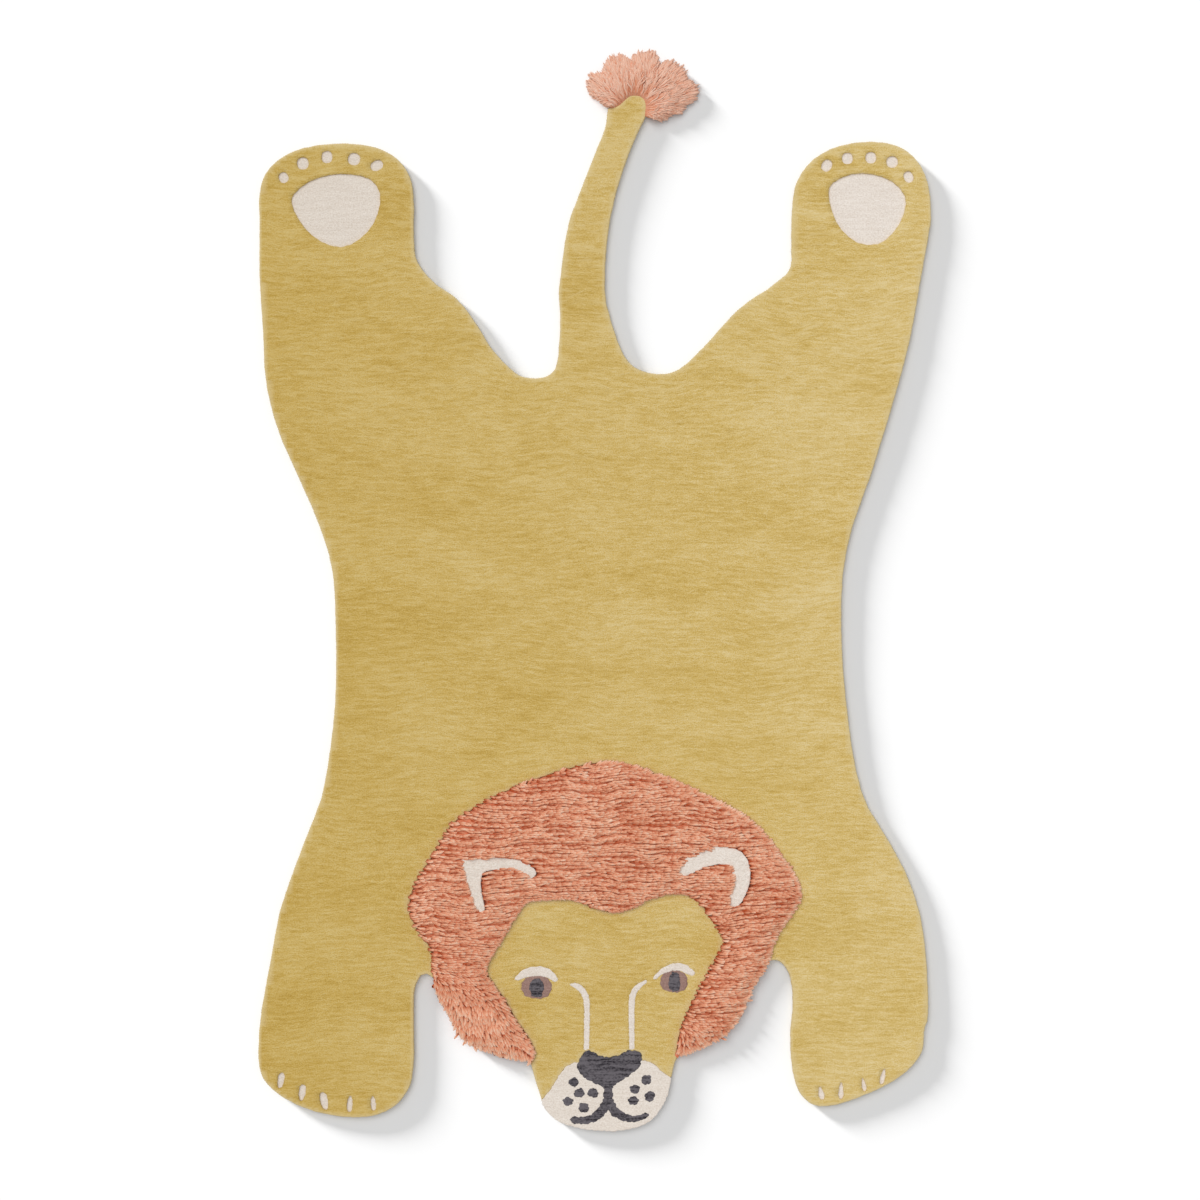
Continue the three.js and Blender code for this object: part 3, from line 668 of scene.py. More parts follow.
class Shader:
    """One material's nodes, added and joined by short calls."""

    def __init__(self, name: str) -> None:
        """Starts a material with a plain principled shader.

        Args:
            name: The material's name.
        """
        self.material = bpy.data.materials.new(name)
        self.material.use_nodes = True
        self.tree = self.material.node_tree
        self.tree.nodes.clear()
        self.skin = self.tree.nodes.new("ShaderNodeBsdfPrincipled")
        output = self.tree.nodes.new("ShaderNodeOutputMaterial")
        self.tree.links.new(self.skin.outputs["BSDF"], output.inputs["Surface"])
        self.place = self.tree.nodes.new("ShaderNodeTexCoord").outputs["Object"]

    def feed(self, socket: bpy.types.NodeSocket, value: object) -> None:
        """Joins another node's output to a socket, or sets a plain value on it.

        Args:
            socket: The socket.
            value: The other node's output, or the value.
        """
        if isinstance(value, bpy.types.NodeSocket):
            self.tree.links.new(value, socket)
        else:
            socket.default_value = value

    def noise(
        self,
        scale: tuple[float, float, float],
        detail: float = 2.0,
        rough: float = 0.5,
        bend: float = 0.0,
        place: bpy.types.NodeSocket | None = None,
    ) -> bpy.types.NodeSocket:
        """Adds a noise with its own scale on each axis.

        Args:
            scale: Changes per metre along X, Y and Z.
            detail: Number of finer layers.
            rough: Share of each finer layer.
            bend: How much the pattern is distorted.
            place: Where the noise is read, in place of the plain coordinates.

        Returns:
            The noise, around 0.5.
        """
        mapping = self.tree.nodes.new("ShaderNodeMapping")
        mapping.inputs["Scale"].default_value = scale
        self.tree.links.new(place or self.place, mapping.inputs["Vector"])
        noise = self.tree.nodes.new("ShaderNodeTexNoise")
        self.tree.links.new(mapping.outputs["Vector"], noise.inputs["Vector"])
        noise.inputs["Scale"].default_value = 1.0
        noise.inputs["Detail"].default_value = detail
        noise.inputs["Roughness"].default_value = rough
        noise.inputs["Distortion"].default_value = bend
        return noise.outputs["Fac"]

    def swayed(self, scale: tuple[float, float, float], amount: float) -> bpy.types.NodeSocket:
        """Shifts the coordinates up and down along Y in slow waves.

        Args:
            scale: Waves per metre along X, Y and Z.
            amount: Height of the waves, in metres.

        Returns:
            The shifted coordinates.
        """
        shift = self.tree.nodes.new("ShaderNodeCombineXYZ")
        wave = self.noise(scale, 1.0)
        self.tree.links.new(self.sum((wave, amount)), shift.inputs["Y"])
        node = self.tree.nodes.new("ShaderNodeVectorMath")
        self.tree.links.new(self.place, node.inputs[0])
        self.tree.links.new(shift.outputs[0], node.inputs[1])
        return node.outputs[0]

    def kept(self, name: str) -> bpy.types.NodeSocket:
        """Reads the numbers that a mesh keeps under a name.

        Args:
            name: The name.

        Returns:
            The numbers.
        """
        node = self.tree.nodes.new("ShaderNodeAttribute")
        node.attribute_name = name
        return node.outputs["Fac"]

    def sum(self, *terms: tuple[object, float]) -> bpy.types.NodeSocket:
        """Adds up values, each times its weight.

        Args:
            terms: The values and their weights.

        Returns:
            The sum.
        """
        total = None
        for value, weight in terms:
            node = self.tree.nodes.new("ShaderNodeMath")
            node.operation = "MULTIPLY_ADD"
            self.feed(node.inputs[0], value)
            node.inputs[1].default_value = weight
            self.feed(node.inputs[2], 0.0 if total is None else total)
            total = node.outputs[0]
        return total

    def across(self, axis: str) -> bpy.types.NodeSocket:
        """Reads one coordinate of the surface, in metres.

        Args:
            axis: X, Y or Z.

        Returns:
            The coordinate.
        """
        node = self.tree.nodes.new("ShaderNodeSeparateXYZ")
        self.tree.links.new(self.place, node.inputs[0])
        return node.outputs[axis]

    def ramp(
        self, value: bpy.types.NodeSocket, stops: tuple[tuple[float, Colour], ...]
    ) -> bpy.types.NodeSocket:
        """Turns a value into a colour.

        Args:
            value: The value to colour.
            stops: Places and their colours, from low to high.

        Returns:
            The colour.
        """
        node = self.tree.nodes.new("ShaderNodeValToRGB")
        bands = node.color_ramp.elements
        while len(bands) < len(stops):
            bands.new(0.5)
        for band, (place, colour) in zip(bands, stops, strict=True):
            band.position = place
            band.color = colour
        self.tree.links.new(value, node.inputs["Fac"])
        return node.outputs["Color"]

    def blend(
        self, share: object, first: object, second: object, way: str = "MIX"
    ) -> bpy.types.NodeSocket:
        """Mixes two colours.

        Args:
            share: Share of the second colour.
            first: The first colour.
            second: The second colour.
            way: How they are mixed.

        Returns:
            The mixed colour.
        """
        node = self.tree.nodes.new("ShaderNodeMix")
        node.data_type = "RGBA"
        node.blend_type = way
        self.feed(node.inputs[0], share)
        self.feed(node.inputs[6], first)
        self.feed(node.inputs[7], second)
        return node.outputs[2]

    def painted_side_light(
        self, colour: bpy.types.NodeSocket, left: Colour, right: Colour
    ) -> bpy.types.NodeSocket:
        """Paints side light into a colour, more and more from one side of the rug to the other.

        Args:
            colour: The colour.
            left: What it is multiplied by at the left side.
            right: What it is multiplied by at the right side.

        Returns:
            The tinted colour.
        """
        side = self.sum((self.across("X"), PER_RUG_WIDTH), (0.5, 1.0))
        tone = self.ramp(side, ((0.0, left), (1.0, right)))
        return self.blend(1.0, colour, tone, "MULTIPLY")

    def relief(self, height: bpy.types.NodeSocket, depth: float) -> None:
        """Raises the surface by a height times a depth in metres.

        Args:
            height: The height, around 0.5.
            depth: The depth, in metres.
        """
        node = self.tree.nodes.new("ShaderNodeBump")
        node.inputs["Strength"].default_value = 1.0
        node.inputs["Distance"].default_value = depth
        self.tree.links.new(height, node.inputs["Height"])
        self.tree.links.new(node.outputs["Normal"], self.skin.inputs["Normal"])

    def wool(
        self, colour: bpy.types.NodeSocket, sheen: float, gloss: float = 0.15
    ) -> bpy.types.Material:
        """Finishes the shader as wool.

        Args:
            colour: The wool's colour.
            sheen: Weight of the soft light along its fibres.
            gloss: Weight of the plain reflection.

        Returns:
            The finished material.
        """
        self.feed(self.skin.inputs["Base Color"], colour)
        self.skin.inputs["Roughness"].default_value = 0.95
        self.skin.inputs["Specular IOR Level"].default_value = gloss
        self.skin.inputs["Sheen Weight"].default_value = sheen
        self.skin.inputs["Sheen Roughness"].default_value = 0.6
        return self.material


@dataclass(frozen=True)
class OchrePile:
    """Low cut wool in one dye lot after another, streaked along the knot rows, with painted side
    light and a painted highlight on its outer rim.
    """

    deep: Colour = srgb(190, 158, 80)
    gold: Colour = srgb(205, 176, 100)
    sand: Colour = srgb(216, 190, 124)
    pale: Colour = srgb(225, 205, 152)
    # Painted side light: the pile is darker at the rug's left side and lighter at its right.
    left: Colour = (0.904, 0.840, 0.615, 1.0)
    right: Colour = (1.08, 1.075, 1.09, 1.0)
    # Painted highlight: the pile is paler along its outer rim.
    rim: Colour = srgb(226, 206, 156)

    def material(self) -> bpy.types.Material:
        """Makes the pile's material.

        Returns:
            The material.
        """
        shader = Shader("ochre_pile")
        drift = shader.noise((5.0, 13.0, 4.0), 2.0, 0.55, 0.5)
        swayed = shader.swayed((6.0, 4.0, 3.0), 32 * MM)
        streak = shader.noise((36.0, 250.0, 20.0), 3.0, 0.66, 0.4, swayed)
        hair = shader.noise((170.0, 700.0, 60.0), 2.0, 0.6, 0.0, swayed)
        speck = shader.noise((640.0, 680.0, 300.0), 1.0, 0.6)
        value = shader.sum((drift, 0.26), (streak, 0.46), (hair, 0.28), (speck, 0.52))
        colour = shader.ramp(
            value,
            ((0.577, self.deep), (0.686, self.gold), (0.786, self.sand), (0.891, self.pale)),
        )
        curved = shader.swayed((13.0, 10.0, 3.0), 42 * MM)
        feather = shader.noise((26.0, 150.0, 20.0), 3.0, 0.62, 1.0, curved)
        feather = shader.ramp(feather, ((0.52, NONE), (0.66, WHOLE)))
        behind = shader.ramp(shader.sum((shader.across("Y"), 1.0)), ((0.06, NONE), (0.30, WHOLE)))
        share = shader.blend(1.0, feather, behind, "MULTIPLY")
        colour = shader.blend(shader.sum((share, 0.5)), colour, self.pale)
        # Painted side light across the rug.
        colour = shader.painted_side_light(colour, self.left, self.right)
        # Painted highlight along the pile's outer rim.
        colour = shader.blend(shader.sum((shader.kept("rim"), 0.55)), colour, self.rim)
        shader.relief(shader.sum((hair, 0.4), (speck, 1.0), (streak, 0.3)), 0.9 * MM)
        return shader.wool(colour, 0.12)


@dataclass(frozen=True)
class ShortPile:
    """Cut or looped wool of one colour in small knots."""

    name: str
    dark: Colour
    light: Colour
    knots: float = 420.0
    streak: float = 0.3
    depth: float = 0.7 * MM
    # Painted side light: the colour is multiplied by left at the rug's left side and by right at
    # its right.
    left: Colour = WHOLE
    right: Colour = WHOLE

    def material(self) -> bpy.types.Material:
        """Makes the pile's material.

        Returns:
            The material.
        """
        shader = Shader(self.name)
        knot = shader.noise((self.knots, self.knots * 1.3, self.knots), 1.0, 0.5)
        streak = shader.noise((30.0, 330.0, 40.0), 2.0, 0.6)
        fibre = shader.noise((self.knots * 3, self.knots * 3, self.knots * 3), 2.0, 0.6)
        value = shader.sum((knot, 0.6), (streak, self.streak), (fibre, 0.3))
        middle = (0.9 + self.streak) / 2
        colour = shader.ramp(value, ((middle - 0.2, self.dark), (middle + 0.2, self.light)))
        if self.left != self.right:
            colour = shader.painted_side_light(colour, self.left, self.right)
        shader.relief(shader.sum((knot, 1.0), (fibre, 0.4)), self.depth)
        return shader.wool(colour, 0.12)


@dataclass(frozen=True)
class CoralYarn:
    """Long wool yarn, with painted shade that deepens it towards its root and a painted highlight
    that lightens its end.
    """

    name: str
    root: Colour
    middle: Colour
    end: Colour
    spread: float = 0.12

    def material(self) -> bpy.types.Material:
        """Makes the yarn's material.

        Returns:
            The material.
        """
        shader = Shader(self.name)
        patch = shader.noise((26.0, 60.0, 20.0), 2.0, 0.5)
        fibre = shader.noise((900.0, 900.0, 900.0), 2.0, 0.6)
        value = shader.sum(
            (shader.kept("reach"), 0.6),
            (shader.kept("tone"), self.spread),
            (patch, 0.2),
            (fibre, 0.3),
        )
        # Painted shade at the root and a painted highlight at the end of each yarn.
        colour = shader.ramp(value, ((0.25, self.root), (0.6, self.middle), (0.95, self.end)))
        shader.relief(fibre, 0.5 * MM)
        return shader.wool(colour, 0.0, 0.03)


@dataclass(frozen=True)
class GroundWeave:
    """Undyed cotton canvas."""

    shade: Colour = srgb(196, 184, 160)
    thread: Colour = srgb(226, 216, 196)

    def material(self) -> bpy.types.Material:
        """Makes the canvas's material.

        Returns:
            The material.
        """
        shader = Shader("ground_weave")
        warp = shader.noise((620.0, 40.0, 80.0), 1.0)
        weft = shader.noise((40.0, 620.0, 80.0), 1.0)
        value = shader.sum((warp, 0.5), (weft, 0.5))
        colour = shader.ramp(value, ((0.38, self.shade), (0.62, self.thread)))
        shader.relief(value, 0.6 * MM)
        return shader.wool(colour, 0.05)


# ---------------------------------------------------------------- the rug


def dress(made: bpy.types.Object, finish: bpy.types.Material, slot: Slot, *nodes: str) -> None:
    """Gives a piece its finish and hides the CAD nodes that it stands for.

    Args:
        made: The piece.
        finish: Its material.
        slot: The record's slot that the finish is from; not used.
        nodes: The CAD nodes.
    """
    made.data.materials.append(finish)
    if nodes:
        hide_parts(*nodes)


LOW_TOP = 7.3 * MM
MUZZLE_TOP = 9.85 * MM
LINE_TOP = 9.9 * MM
IRIS_TOP = 9.95 * MM
DARK_TOP = 10.05 * MM
EAR_TOP = 22.4 * MM
EAR_SHIFT = (-2.6 * MM, 1.9 * MM)
LET_IN = (Slot.OCHRE, Slot.CREAM, Slot.BROWN, Slot.CHARCOAL)
SHORT_PILES = {
    Slot.CREAM: ShortPile(
        "cream_pile",
        srgb(214, 201, 187),
        srgb(242, 234, 224),
        # Painted side light: the cream is darker at the rug's left and lighter at its right.
        left=(0.98, 0.97, 0.96, 1.0),
        right=(1.09, 1.09, 1.11, 1.0),
    ),
    Slot.BROWN: ShortPile("brown_pile", srgb(136, 104, 96), srgb(172, 141, 130)),
    Slot.CHARCOAL: ShortPile(
        "charcoal_pile", srgb(40, 36, 42), srgb(106, 101, 106), knots=330.0, streak=0.9
    ),
}


@dataclass(frozen=True)
class Stitch:
    """How a claw's patch is sewn in: tilted, stretched and dropped from its solid."""

    tilt: float
    across: float
    along: float
    drop: float = 0.0
    taper: float = 0.15

    def laid(self, loop: Loop) -> Loop:
        """Lays a loop as the patch is sewn in.

        Args:
            loop: The patch's loop, or the loop of its hole, on the CAD solid.

        Returns:
            The loop, with its long side at the patch's tilt.
        """
        middle = loop.points.mean(0)
        spread = loop.points - middle
        up = np.linalg.svd(spread, full_matrices=False)[2][0]
        up = up * np.sign(up[1])
        side = np.array([up[1], -up[0]])
        turn = math.radians(self.tilt)
        new_up = np.array([math.sin(turn), math.cos(turn)]) * self.along
        new_side = np.array([math.cos(turn), -math.sin(turn)]) * self.across
        rise = spread @ up
        wide = 1 + self.taper * rise / np.abs(rise).max()
        points = np.outer(rise, new_up) + np.outer(spread @ side * wide, new_side)
        return Loop(points + middle - (0.0, self.drop))


CLAWS = {
    "claw_left_1": Stitch(10, 1.2, 1.15),
    "claw_left_2": Stitch(8, 1.25, 1.2),
    "claw_left_3": Stitch(-12, 1.4, 1.3),
    "claw_left_4": Stitch(4, 1.05, 1.2, 0.0, -0.1),
    "claw_left_5": Stitch(-5, 1.0, 1.05, 0.0, -0.15),
    "claw_right_1": Stitch(-12, 1.0, 1.0, 3.8 * MM, -0.3),
    "claw_right_2": Stitch(1, 0.95, 1.22, 2.4 * MM, -0.3),
    "claw_right_3": Stitch(-10, 0.8, 1.05, 1.8 * MM, -0.3),
    "claw_right_4": Stitch(12, 0.9, 1.18, 2.4 * MM, -0.3),
}


@dataclass
class Seams:
    """The rims where two colours of pile meet, which step from knot to knot."""

    fields: list["Field"]
    pitch: float = 3.0 * MM
    depth: float = 1.1 * MM
    grow: float = 0.45 * MM
    reach: float = 1.0 * MM
    near: float = 3.0 * MM
    steps: int = 512
    apart: int = 97
    seed: int = 17

    def __post_init__(self) -> None:
        """Gathers the rims that each colour gives way to."""
        self.table = np.random.default_rng(self.seed).uniform(-1, 1, self.steps)
        self.over = {}
        for rank, slot in enumerate(LET_IN):
            loops, bold = [], []
            for part in self.fields:
                if LET_IN.index(part.slot) > rank:
                    even = [loop.evened(part.step) for loop in part.loops()]
                    loops += even
                    bold += [np.full(len(loop.points), part.bold) for loop in even]
            if loops:
                self.over[slot] = (Rims(loops), np.concatenate(bold))

    def laid(self, loop: Loop) -> Loop:
        """Lays a hole of the hide as the claw in it is sewn in.

        Args:
            loop: A rim of the hide on its CAD solid.

        Returns:
            The rim, changed only where it goes round a claw.
        """
        middle = loop.points.mean(0)
        for part in self.fields:
            if part.node in CLAWS and np.linalg.norm(part.middle() - middle) < self.near:
                return CLAWS[part.node].laid(loop)
        return loop

    def drawn(self, loop: Loop, slot: Slot, own: float, more: float | np.ndarray) -> Loop:
        """Draws a pile's rim where it meets its neighbours.

        Args:
            loop: The even loop of the pile.
            slot: The pile's colour.
            own: How boldly the pile itself steps, from 0 to 1.
            more: How far the pile reaches out where it meets none.

        Returns:
            The stepped loop, drawn back wherever a later colour steps out.
        """
        x, y = loop.points.T
        way = np.abs(loop.outward())
        by_row = self.table[np.floor(y / self.pitch).astype(int) % self.steps]
        by_column = self.table[np.floor(x / self.pitch + self.apart).astype(int) % self.steps]
        step = self.depth * (by_row * way[:, 0] + by_column * way[:, 1])
        amount = more + own * step
        if slot in self.over:
            rims, bold = self.over[slot]
            gap, near = rims.nearest(loop.points)
            amount = np.where(gap < self.reach, self.grow - bold[near] * step, amount)
        return loop.moved(amount)


@dataclass
class Ground:
    """The cotton ground weave, which is the sheet that the rug is cut from."""

    cut_height: float = 1.53 * MM
    top: float = 2.9 * MM
    step: float = 4.0 * MM
    across: float = 30.0 * MM
    inset: float = 1.2 * MM
    wall: tuple[Ring, ...] = (Ring(0.6 * MM, 0.0), Ring(0.0, 0.5), Ring(0.6 * MM, 1.0))

    def build(self) -> bpy.types.Object:
        """Builds and dresses the weave.

        Returns:
            The piece.
        """
        loops = [
            loop.evened(self.step).moved(-self.inset)
            for loop in cut_loops("rug_body", self.cut_height)
        ]
        body = Pile(
            loops, 0.0, level(self.top), self.across, self.across, outer_wall=self.wall
        )
        made = body.made("ground_weave")
        dress(made, GroundWeave().material(), Slot.CREAM, "rug_body")
        return made


@dataclass
class Hide:
    """The ochre pile of the lion's body, tail and face."""

    cut_height: float = 5.03 * MM
    foot: float = 2.5 * MM
    top: float = 9.75 * MM
    rim_step: float = 1.8 * MM
    hole_step: float = 1.1 * MM
    row: float = 1.75 * MM
    column: float = 9.0 * MM
    furrow: float = 0.16 * MM
    streak: float = 0.22 * MM
    swell: float = 0.35 * MM
    knot_bulge: float = 0.3 * MM
    knot: float = 4.0 * MM
    margin: float = 1.3 * MM
    wander: float = 0.5 * MM
    grains: tuple[Grain, ...] = field(default_factory=lambda: grains_from(3, 5, 8, 9))

    def surface(self, x: np.ndarray, y: np.ndarray) -> np.ndarray:
        """Works out the pile's height, with its swells, streaks and knot rows.

        Args:
            x: First coordinates.
            y: Second coordinates.

        Returns:
            The heights, in metres.
        """
        swell, streak, depth, _ = self.grains
        rows = np.cos(np.round(y / self.row) * math.pi)
        lines = self.furrow * (0.6 + 0.4 * depth.at(x / 0.03, y / 0.006))
        return (
            self.top
            + self.swell * swell.at(x / 0.16, y / 0.13)
            + self.streak * streak.at(x / 0.05, y / 0.008)
            + lines * rows
        )

    def rim(self, loop: Loop, seams: Seams) -> Loop:
        """Draws a rim of the hide.

        Args:
            loop: The rim on the CAD solid.
            seams: Where the fields meet the hide.

        Returns:
            The rim with the bulge of each knot, drawn back where a field steps out.
        """
        if not loop.is_outer():
            return seams.drawn(loop.evened(self.hole_step), Slot.OCHRE, 0.0, seams.grow)
        even = loop.evened(self.rim_step)
        x, y = even.points.T
        bulge = np.where(np.arange(len(x)) % 2, 1.0, -1.0) * self.knot_bulge
        ragged = self.grains[3].at(x / self.knot, y / self.knot) * self.knot_bulge
        return seams.drawn(even, Slot.OCHRE, 0.0, bulge + ragged)

    def build(self, seams: Seams) -> bpy.types.Object:
        """Builds and dresses the pile.

        Args:
            seams: Where the fields meet the hide.

        Returns:
            The piece.
        """
        cut = cut_loops("rug_body", self.cut_height)
        loops = [self.rim(seams.laid(loop), seams) for loop in cut]
        pile = Pile(
            loops,
            self.foot,
            self.surface,
            self.column,
            self.row,
            margin=self.margin,
            wander=self.wander,
            wander_grain=self.grains[0],
        )
        made = pile.made("hide_pile")
        dress(made, OchrePile().material(), Slot.OCHRE, "rug_body")
        return made


@dataclass
class Field:
    """A field of another yarn, let into the hide or the mane."""

    node: str
    slot: Slot
    top: float
    cut_height: float = 5.03 * MM
    foot: float = 2.5 * MM
    step: float = 1.1 * MM
    bold: float = 0.15
    reach: float = 0.45 * MM
    shift: tuple[float, float] = (0.0, 0.0)
    knot: float = 1.75 * MM
    bump: float = 0.22 * MM
    margin: float = 0.8 * MM
    grain: Grain = field(default_factory=lambda: Grain(17))

    def loops(self) -> list[Loop]:
        """Reads the field's outline from its CAD solid.

        Returns:
            The loops of the outline, as the field is laid.
        """
        cut = cut_loops(self.node, self.cut_height)
        if self.node in CLAWS:
            return [CLAWS[self.node].laid(loop) for loop in cut]
        return [loop.shifted(*self.shift) for loop in cut]

    def middle(self) -> np.ndarray:
        """Returns the middle of the field's CAD solid on the plan."""
        return cut_loops(self.node, self.cut_height)[0].points.mean(0)

    def surface(self, x: np.ndarray, y: np.ndarray) -> np.ndarray:
        """Works out the height of the field, knot by knot.

        Args:
            x: First coordinates.
            y: Second coordinates.

        Returns:
            The heights, in metres.
        """
        column, row = (np.cos(np.round(at / self.knot) * math.pi) for at in (x, y))
        uneven = self.grain.at(x / 0.004, y / 0.003)
        return self.top + self.bump * 0.5 * (column * row) + self.bump * uneven

    def build(self, finishes: dict[Slot, bpy.types.Material], seams: Seams) -> bpy.types.Object:
        """Builds and dresses the field.

        Args:
            finishes: The short piles' materials.
            seams: Where the field meets its neighbours.

        Returns:
            The piece.
        """
        loops = [
            seams.drawn(p.evened(self.step), self.slot, self.bold, self.reach)
            for p in self.loops()
        ]
        pile = Pile(
            loops,
            self.foot,
            self.surface,
            self.knot,
            self.knot,
            margin=self.margin,
            outer_wall=TIGHT_WALL,
        )
        made = pile.made(f"{self.node}_pile")
        dress(made, finishes[self.slot], self.slot, self.node)
        return made


@dataclass(frozen=True)
class Limb:
    """One lower end of the mane, where the yarn fans out downwards."""

    start: float
    end: float


@dataclass
class Mane:
    """The shag mane: a backing, a padding and wavy rows of long yarn, combed one way."""

    cut_height: float = 8.03 * MM
    foot: float = 3.0 * MM
    backing_top: float = 9.6 * MM
    fullness: float = 0.80
    row: float = 6.2 * MM
    strip: float = 1.6 * MM
    pitch: float = 4.2 * MM
    radius: float = 1.65 * MM
    lean: float = 11.0 * MM
    overhang: tuple[float, float] = (3.5 * MM, 7.5 * MM)
    face_overhang: tuple[float, float] = (-0.5 * MM, 2.5 * MM)
    face: tuple[float, float] = (0.01, -0.47)
    bare_overhang: float = 3.5 * MM
    ear_overhang: float = 2.6 * MM
    furrow: float = 1.35 * MM
    long_wave: float = 5.0 * MM
    short_wave: float = 1.5 * MM
    lump: float = 0.6 * MM
    bare_depth: float = 9.0 * MM
    over_hide: float = 11.5 * MM
    fringe_step: float = 1.7 * MM
    fringe_inset: float = 2.5 * MM
    fringe_reach: tuple[float, float] = (5.0 * MM, 8.5 * MM)
    fall: float = math.radians(-74)
    lift: tuple[float, ...] = (-1.0 * MM, 2.3 * MM, 2.6 * MM, 1.7 * MM)
    swirl: float = math.radians(26)
    stray: float = math.radians(5)
    left_limb: Limb = Limb(-0.49, -0.60)
    right_limb: Limb = Limb(-0.575, -0.655)
    rim_depth: float = 26.0 * MM
    clear: float = 1.0 * MM
    outward_enough: float = 0.55
    combed_lean: float = 4.0 * MM
    furrow_drop: float = 2.4 * MM
    gape_drop: float = 1.0 * MM
    ear_drop: float = 1.0 * MM
    uneven: float = 0.35 * MM
    outline_step: float = 3.0 * MM
    backing_grid: float = 20.0 * MM
    padding_grid: float = 6.0 * MM
    padding_inset: tuple[float, float] = (-1.2 * MM, 0.8 * MM)
    stations: int = 5
    parts: int = 4
    seed: int = 29
    heights: Heights = field(default_factory=lambda: Heights("mane"))
    grains: tuple[Grain, ...] = field(default_factory=lambda: grains_from(30, 31, 32, 33))

    def surface(self, x: np.ndarray, y: np.ndarray) -> np.ndarray:
        """Works out the height of the padding between the yarns' roots.

        Args:
            x: First coordinates.
            y: Second coordinates.

        Returns:
            The heights, in metres.
        """
        cad = self.heights.at(np.column_stack([x, y]))
        cad = np.where(np.isnan(cad), 12 * MM, cad)
        return self.padded(cad)

    def padded(self, height: np.ndarray) -> np.ndarray:
        """Returns the height of the padding under a height of the mane."""
        return np.maximum(self.foot + (height - self.foot) * self.fullness, self.backing_top)

    def strand_row(self, x: np.ndarray, row: np.ndarray, strip: np.ndarray) -> np.ndarray:
        """Returns how far a strip of a row strays from the row's line along it.

        Args:
            x: Places along the rows.
            row: The number of the row at each place.
            strip: -1 or 1 for the row's lower or upper strip, 0 for the furrow below it.

        Returns:
            The distances in metres.
        """
        far = self.grains[0].at(x / 0.045, row * 0.12)
        near = self.grains[1].at(x / 0.0105 + row * 0.37, row * 0.45)
        apart = self.strip - self.furrow * self.gape(x, row, strip)
        apart = np.where(strip == 0, -self.row / 2, strip * apart)
        return self.long_wave * far + self.short_wave * near + apart

    def gape(self, x: np.ndarray, row: np.ndarray, strip: np.ndarray) -> np.ndarray:
        """Returns how open the furrow beside a strip is, from 0 to 1."""
        furrow = row + (strip > 0)
        return np.clip(0.15 + 1.9 * self.grains[2].at(x / 0.02 + furrow * 0.61, furrow * 3), 0, 1)

    def roots(self, loops: list[Loop], draw: np.random.Generator) -> np.ndarray:
        """Lays the yarns' roots in wavy rows, and one more line of them along the fringe.

        Args:
            loops: The mane's loops.
            draw: The random draws.

        Returns:
            For each yarn its place on the plan, its row's line, the row's number and its strip,
            which is 2 in the fringe.
        """
        start, _ = edges_of(loops)
        low, high = start.min(0), start.max(0)
        laid = []
        for number, y in enumerate(np.arange(low[1], high[1], self.row)):
            base = y + draw.normal(0, 0.5 * MM)
            for strip in (0.0, -1.0, 1.0):
                pitch = self.pitch * (1.0 if strip else 1.8)
                x = np.arange(low[0], high[0], pitch)
                x = x + draw.uniform(-0.5, 0.5, len(x)) * pitch
                line = base + draw.normal(0, 0.3 * MM, len(x))
                row, side = np.full(len(x), float(number)), np.full(len(x), strip)
                place = line + self.strand_row(x, row, side)
                laid.append(np.column_stack([x, place, line, row, side]))
        points = np.vstack(laid)
        points = points[inside(loops, points[:, :2])]
        rim = next(loop for loop in loops if loop.is_outer()).evened(self.fringe_step)
        x, y = rim.moved(-self.fringe_inset).points.T
        fringe = np.column_stack([x, y, y, 0 * x, 0 * x + 2])
        return np.vstack([points, fringe[inside(loops, fringe[:, :2])]])

    def falls(self, x: np.ndarray, y: np.ndarray) -> np.ndarray:
        """Says how far the yarn of the lower ends has turned downwards.

        Args:
            x: First coordinates.
            y: Second coordinates.

        Returns:
            The turn at each place, from 0 to 1.
        """
        ends = (self.left_limb, self.right_limb)
        left, right = (eased(-y, -limb.start, -limb.end) for limb in ends)
        return np.where(x < 0, left, right)

    def leans(self, roots: np.ndarray, rims: Rims, draw: np.random.Generator) -> np.ndarray:
        """Works out how far and which way each yarn leans.

        Args:
            roots: The yarns' roots.
            rims: The mane's rims.
            draw: The random draws.

        Returns:
            Each yarn's lean on the plan.
        """
        x, y, _, row, strip = roots.T
        rise = self.strand_row(x + MM, row, strip) - self.strand_row(x, row, strip)
        gap, near = rims.nearest(roots[:, :2])
        away, outer = rims.ways[near], rims.outer[near]
        limb = self.falls(x, y)
        turn = self.fall + self.swirl * self.grains[3].at(x / 0.05, y / 0.035)
        turn = turn * limb + np.arctan(rise / MM) * (1 - limb)
        turn = turn + draw.normal(0, self.stray, len(x))
        way = np.column_stack([np.cos(turn), np.sin(turn)])
        fringe = strip == 2
        turning = np.where(fringe, 0.8, np.clip(1 - gap / self.rim_depth, 0, 1) * outer * limb)
        way = way + away * turning[:, None]
        way /= np.linalg.norm(way, axis=1, keepdims=True)
        over = np.maximum(np.sum(way * away, 1), 0.15)
        beyond = np.where(outer, draw.uniform(*self.overhang, len(x)), self.ear_overhang)
        beyond = np.where(fringe & (limb > 0.5), draw.uniform(*self.fringe_reach, len(x)), beyond)
        faceward = outer & (np.sum(away * (np.array(self.face) - roots[:, :2]), 1) > 0)
        beyond = np.where(faceward, draw.uniform(*self.face_overhang, len(x)), beyond)
        length = self.lean * draw.uniform(0.75, 1.15, len(x)) * np.where(strip == 0, 1.5, 1.0)
        length = length * (1 - 0.12 * limb)
        reach = np.minimum(length, (gap + beyond) / over)
        return way * reach[:, None]

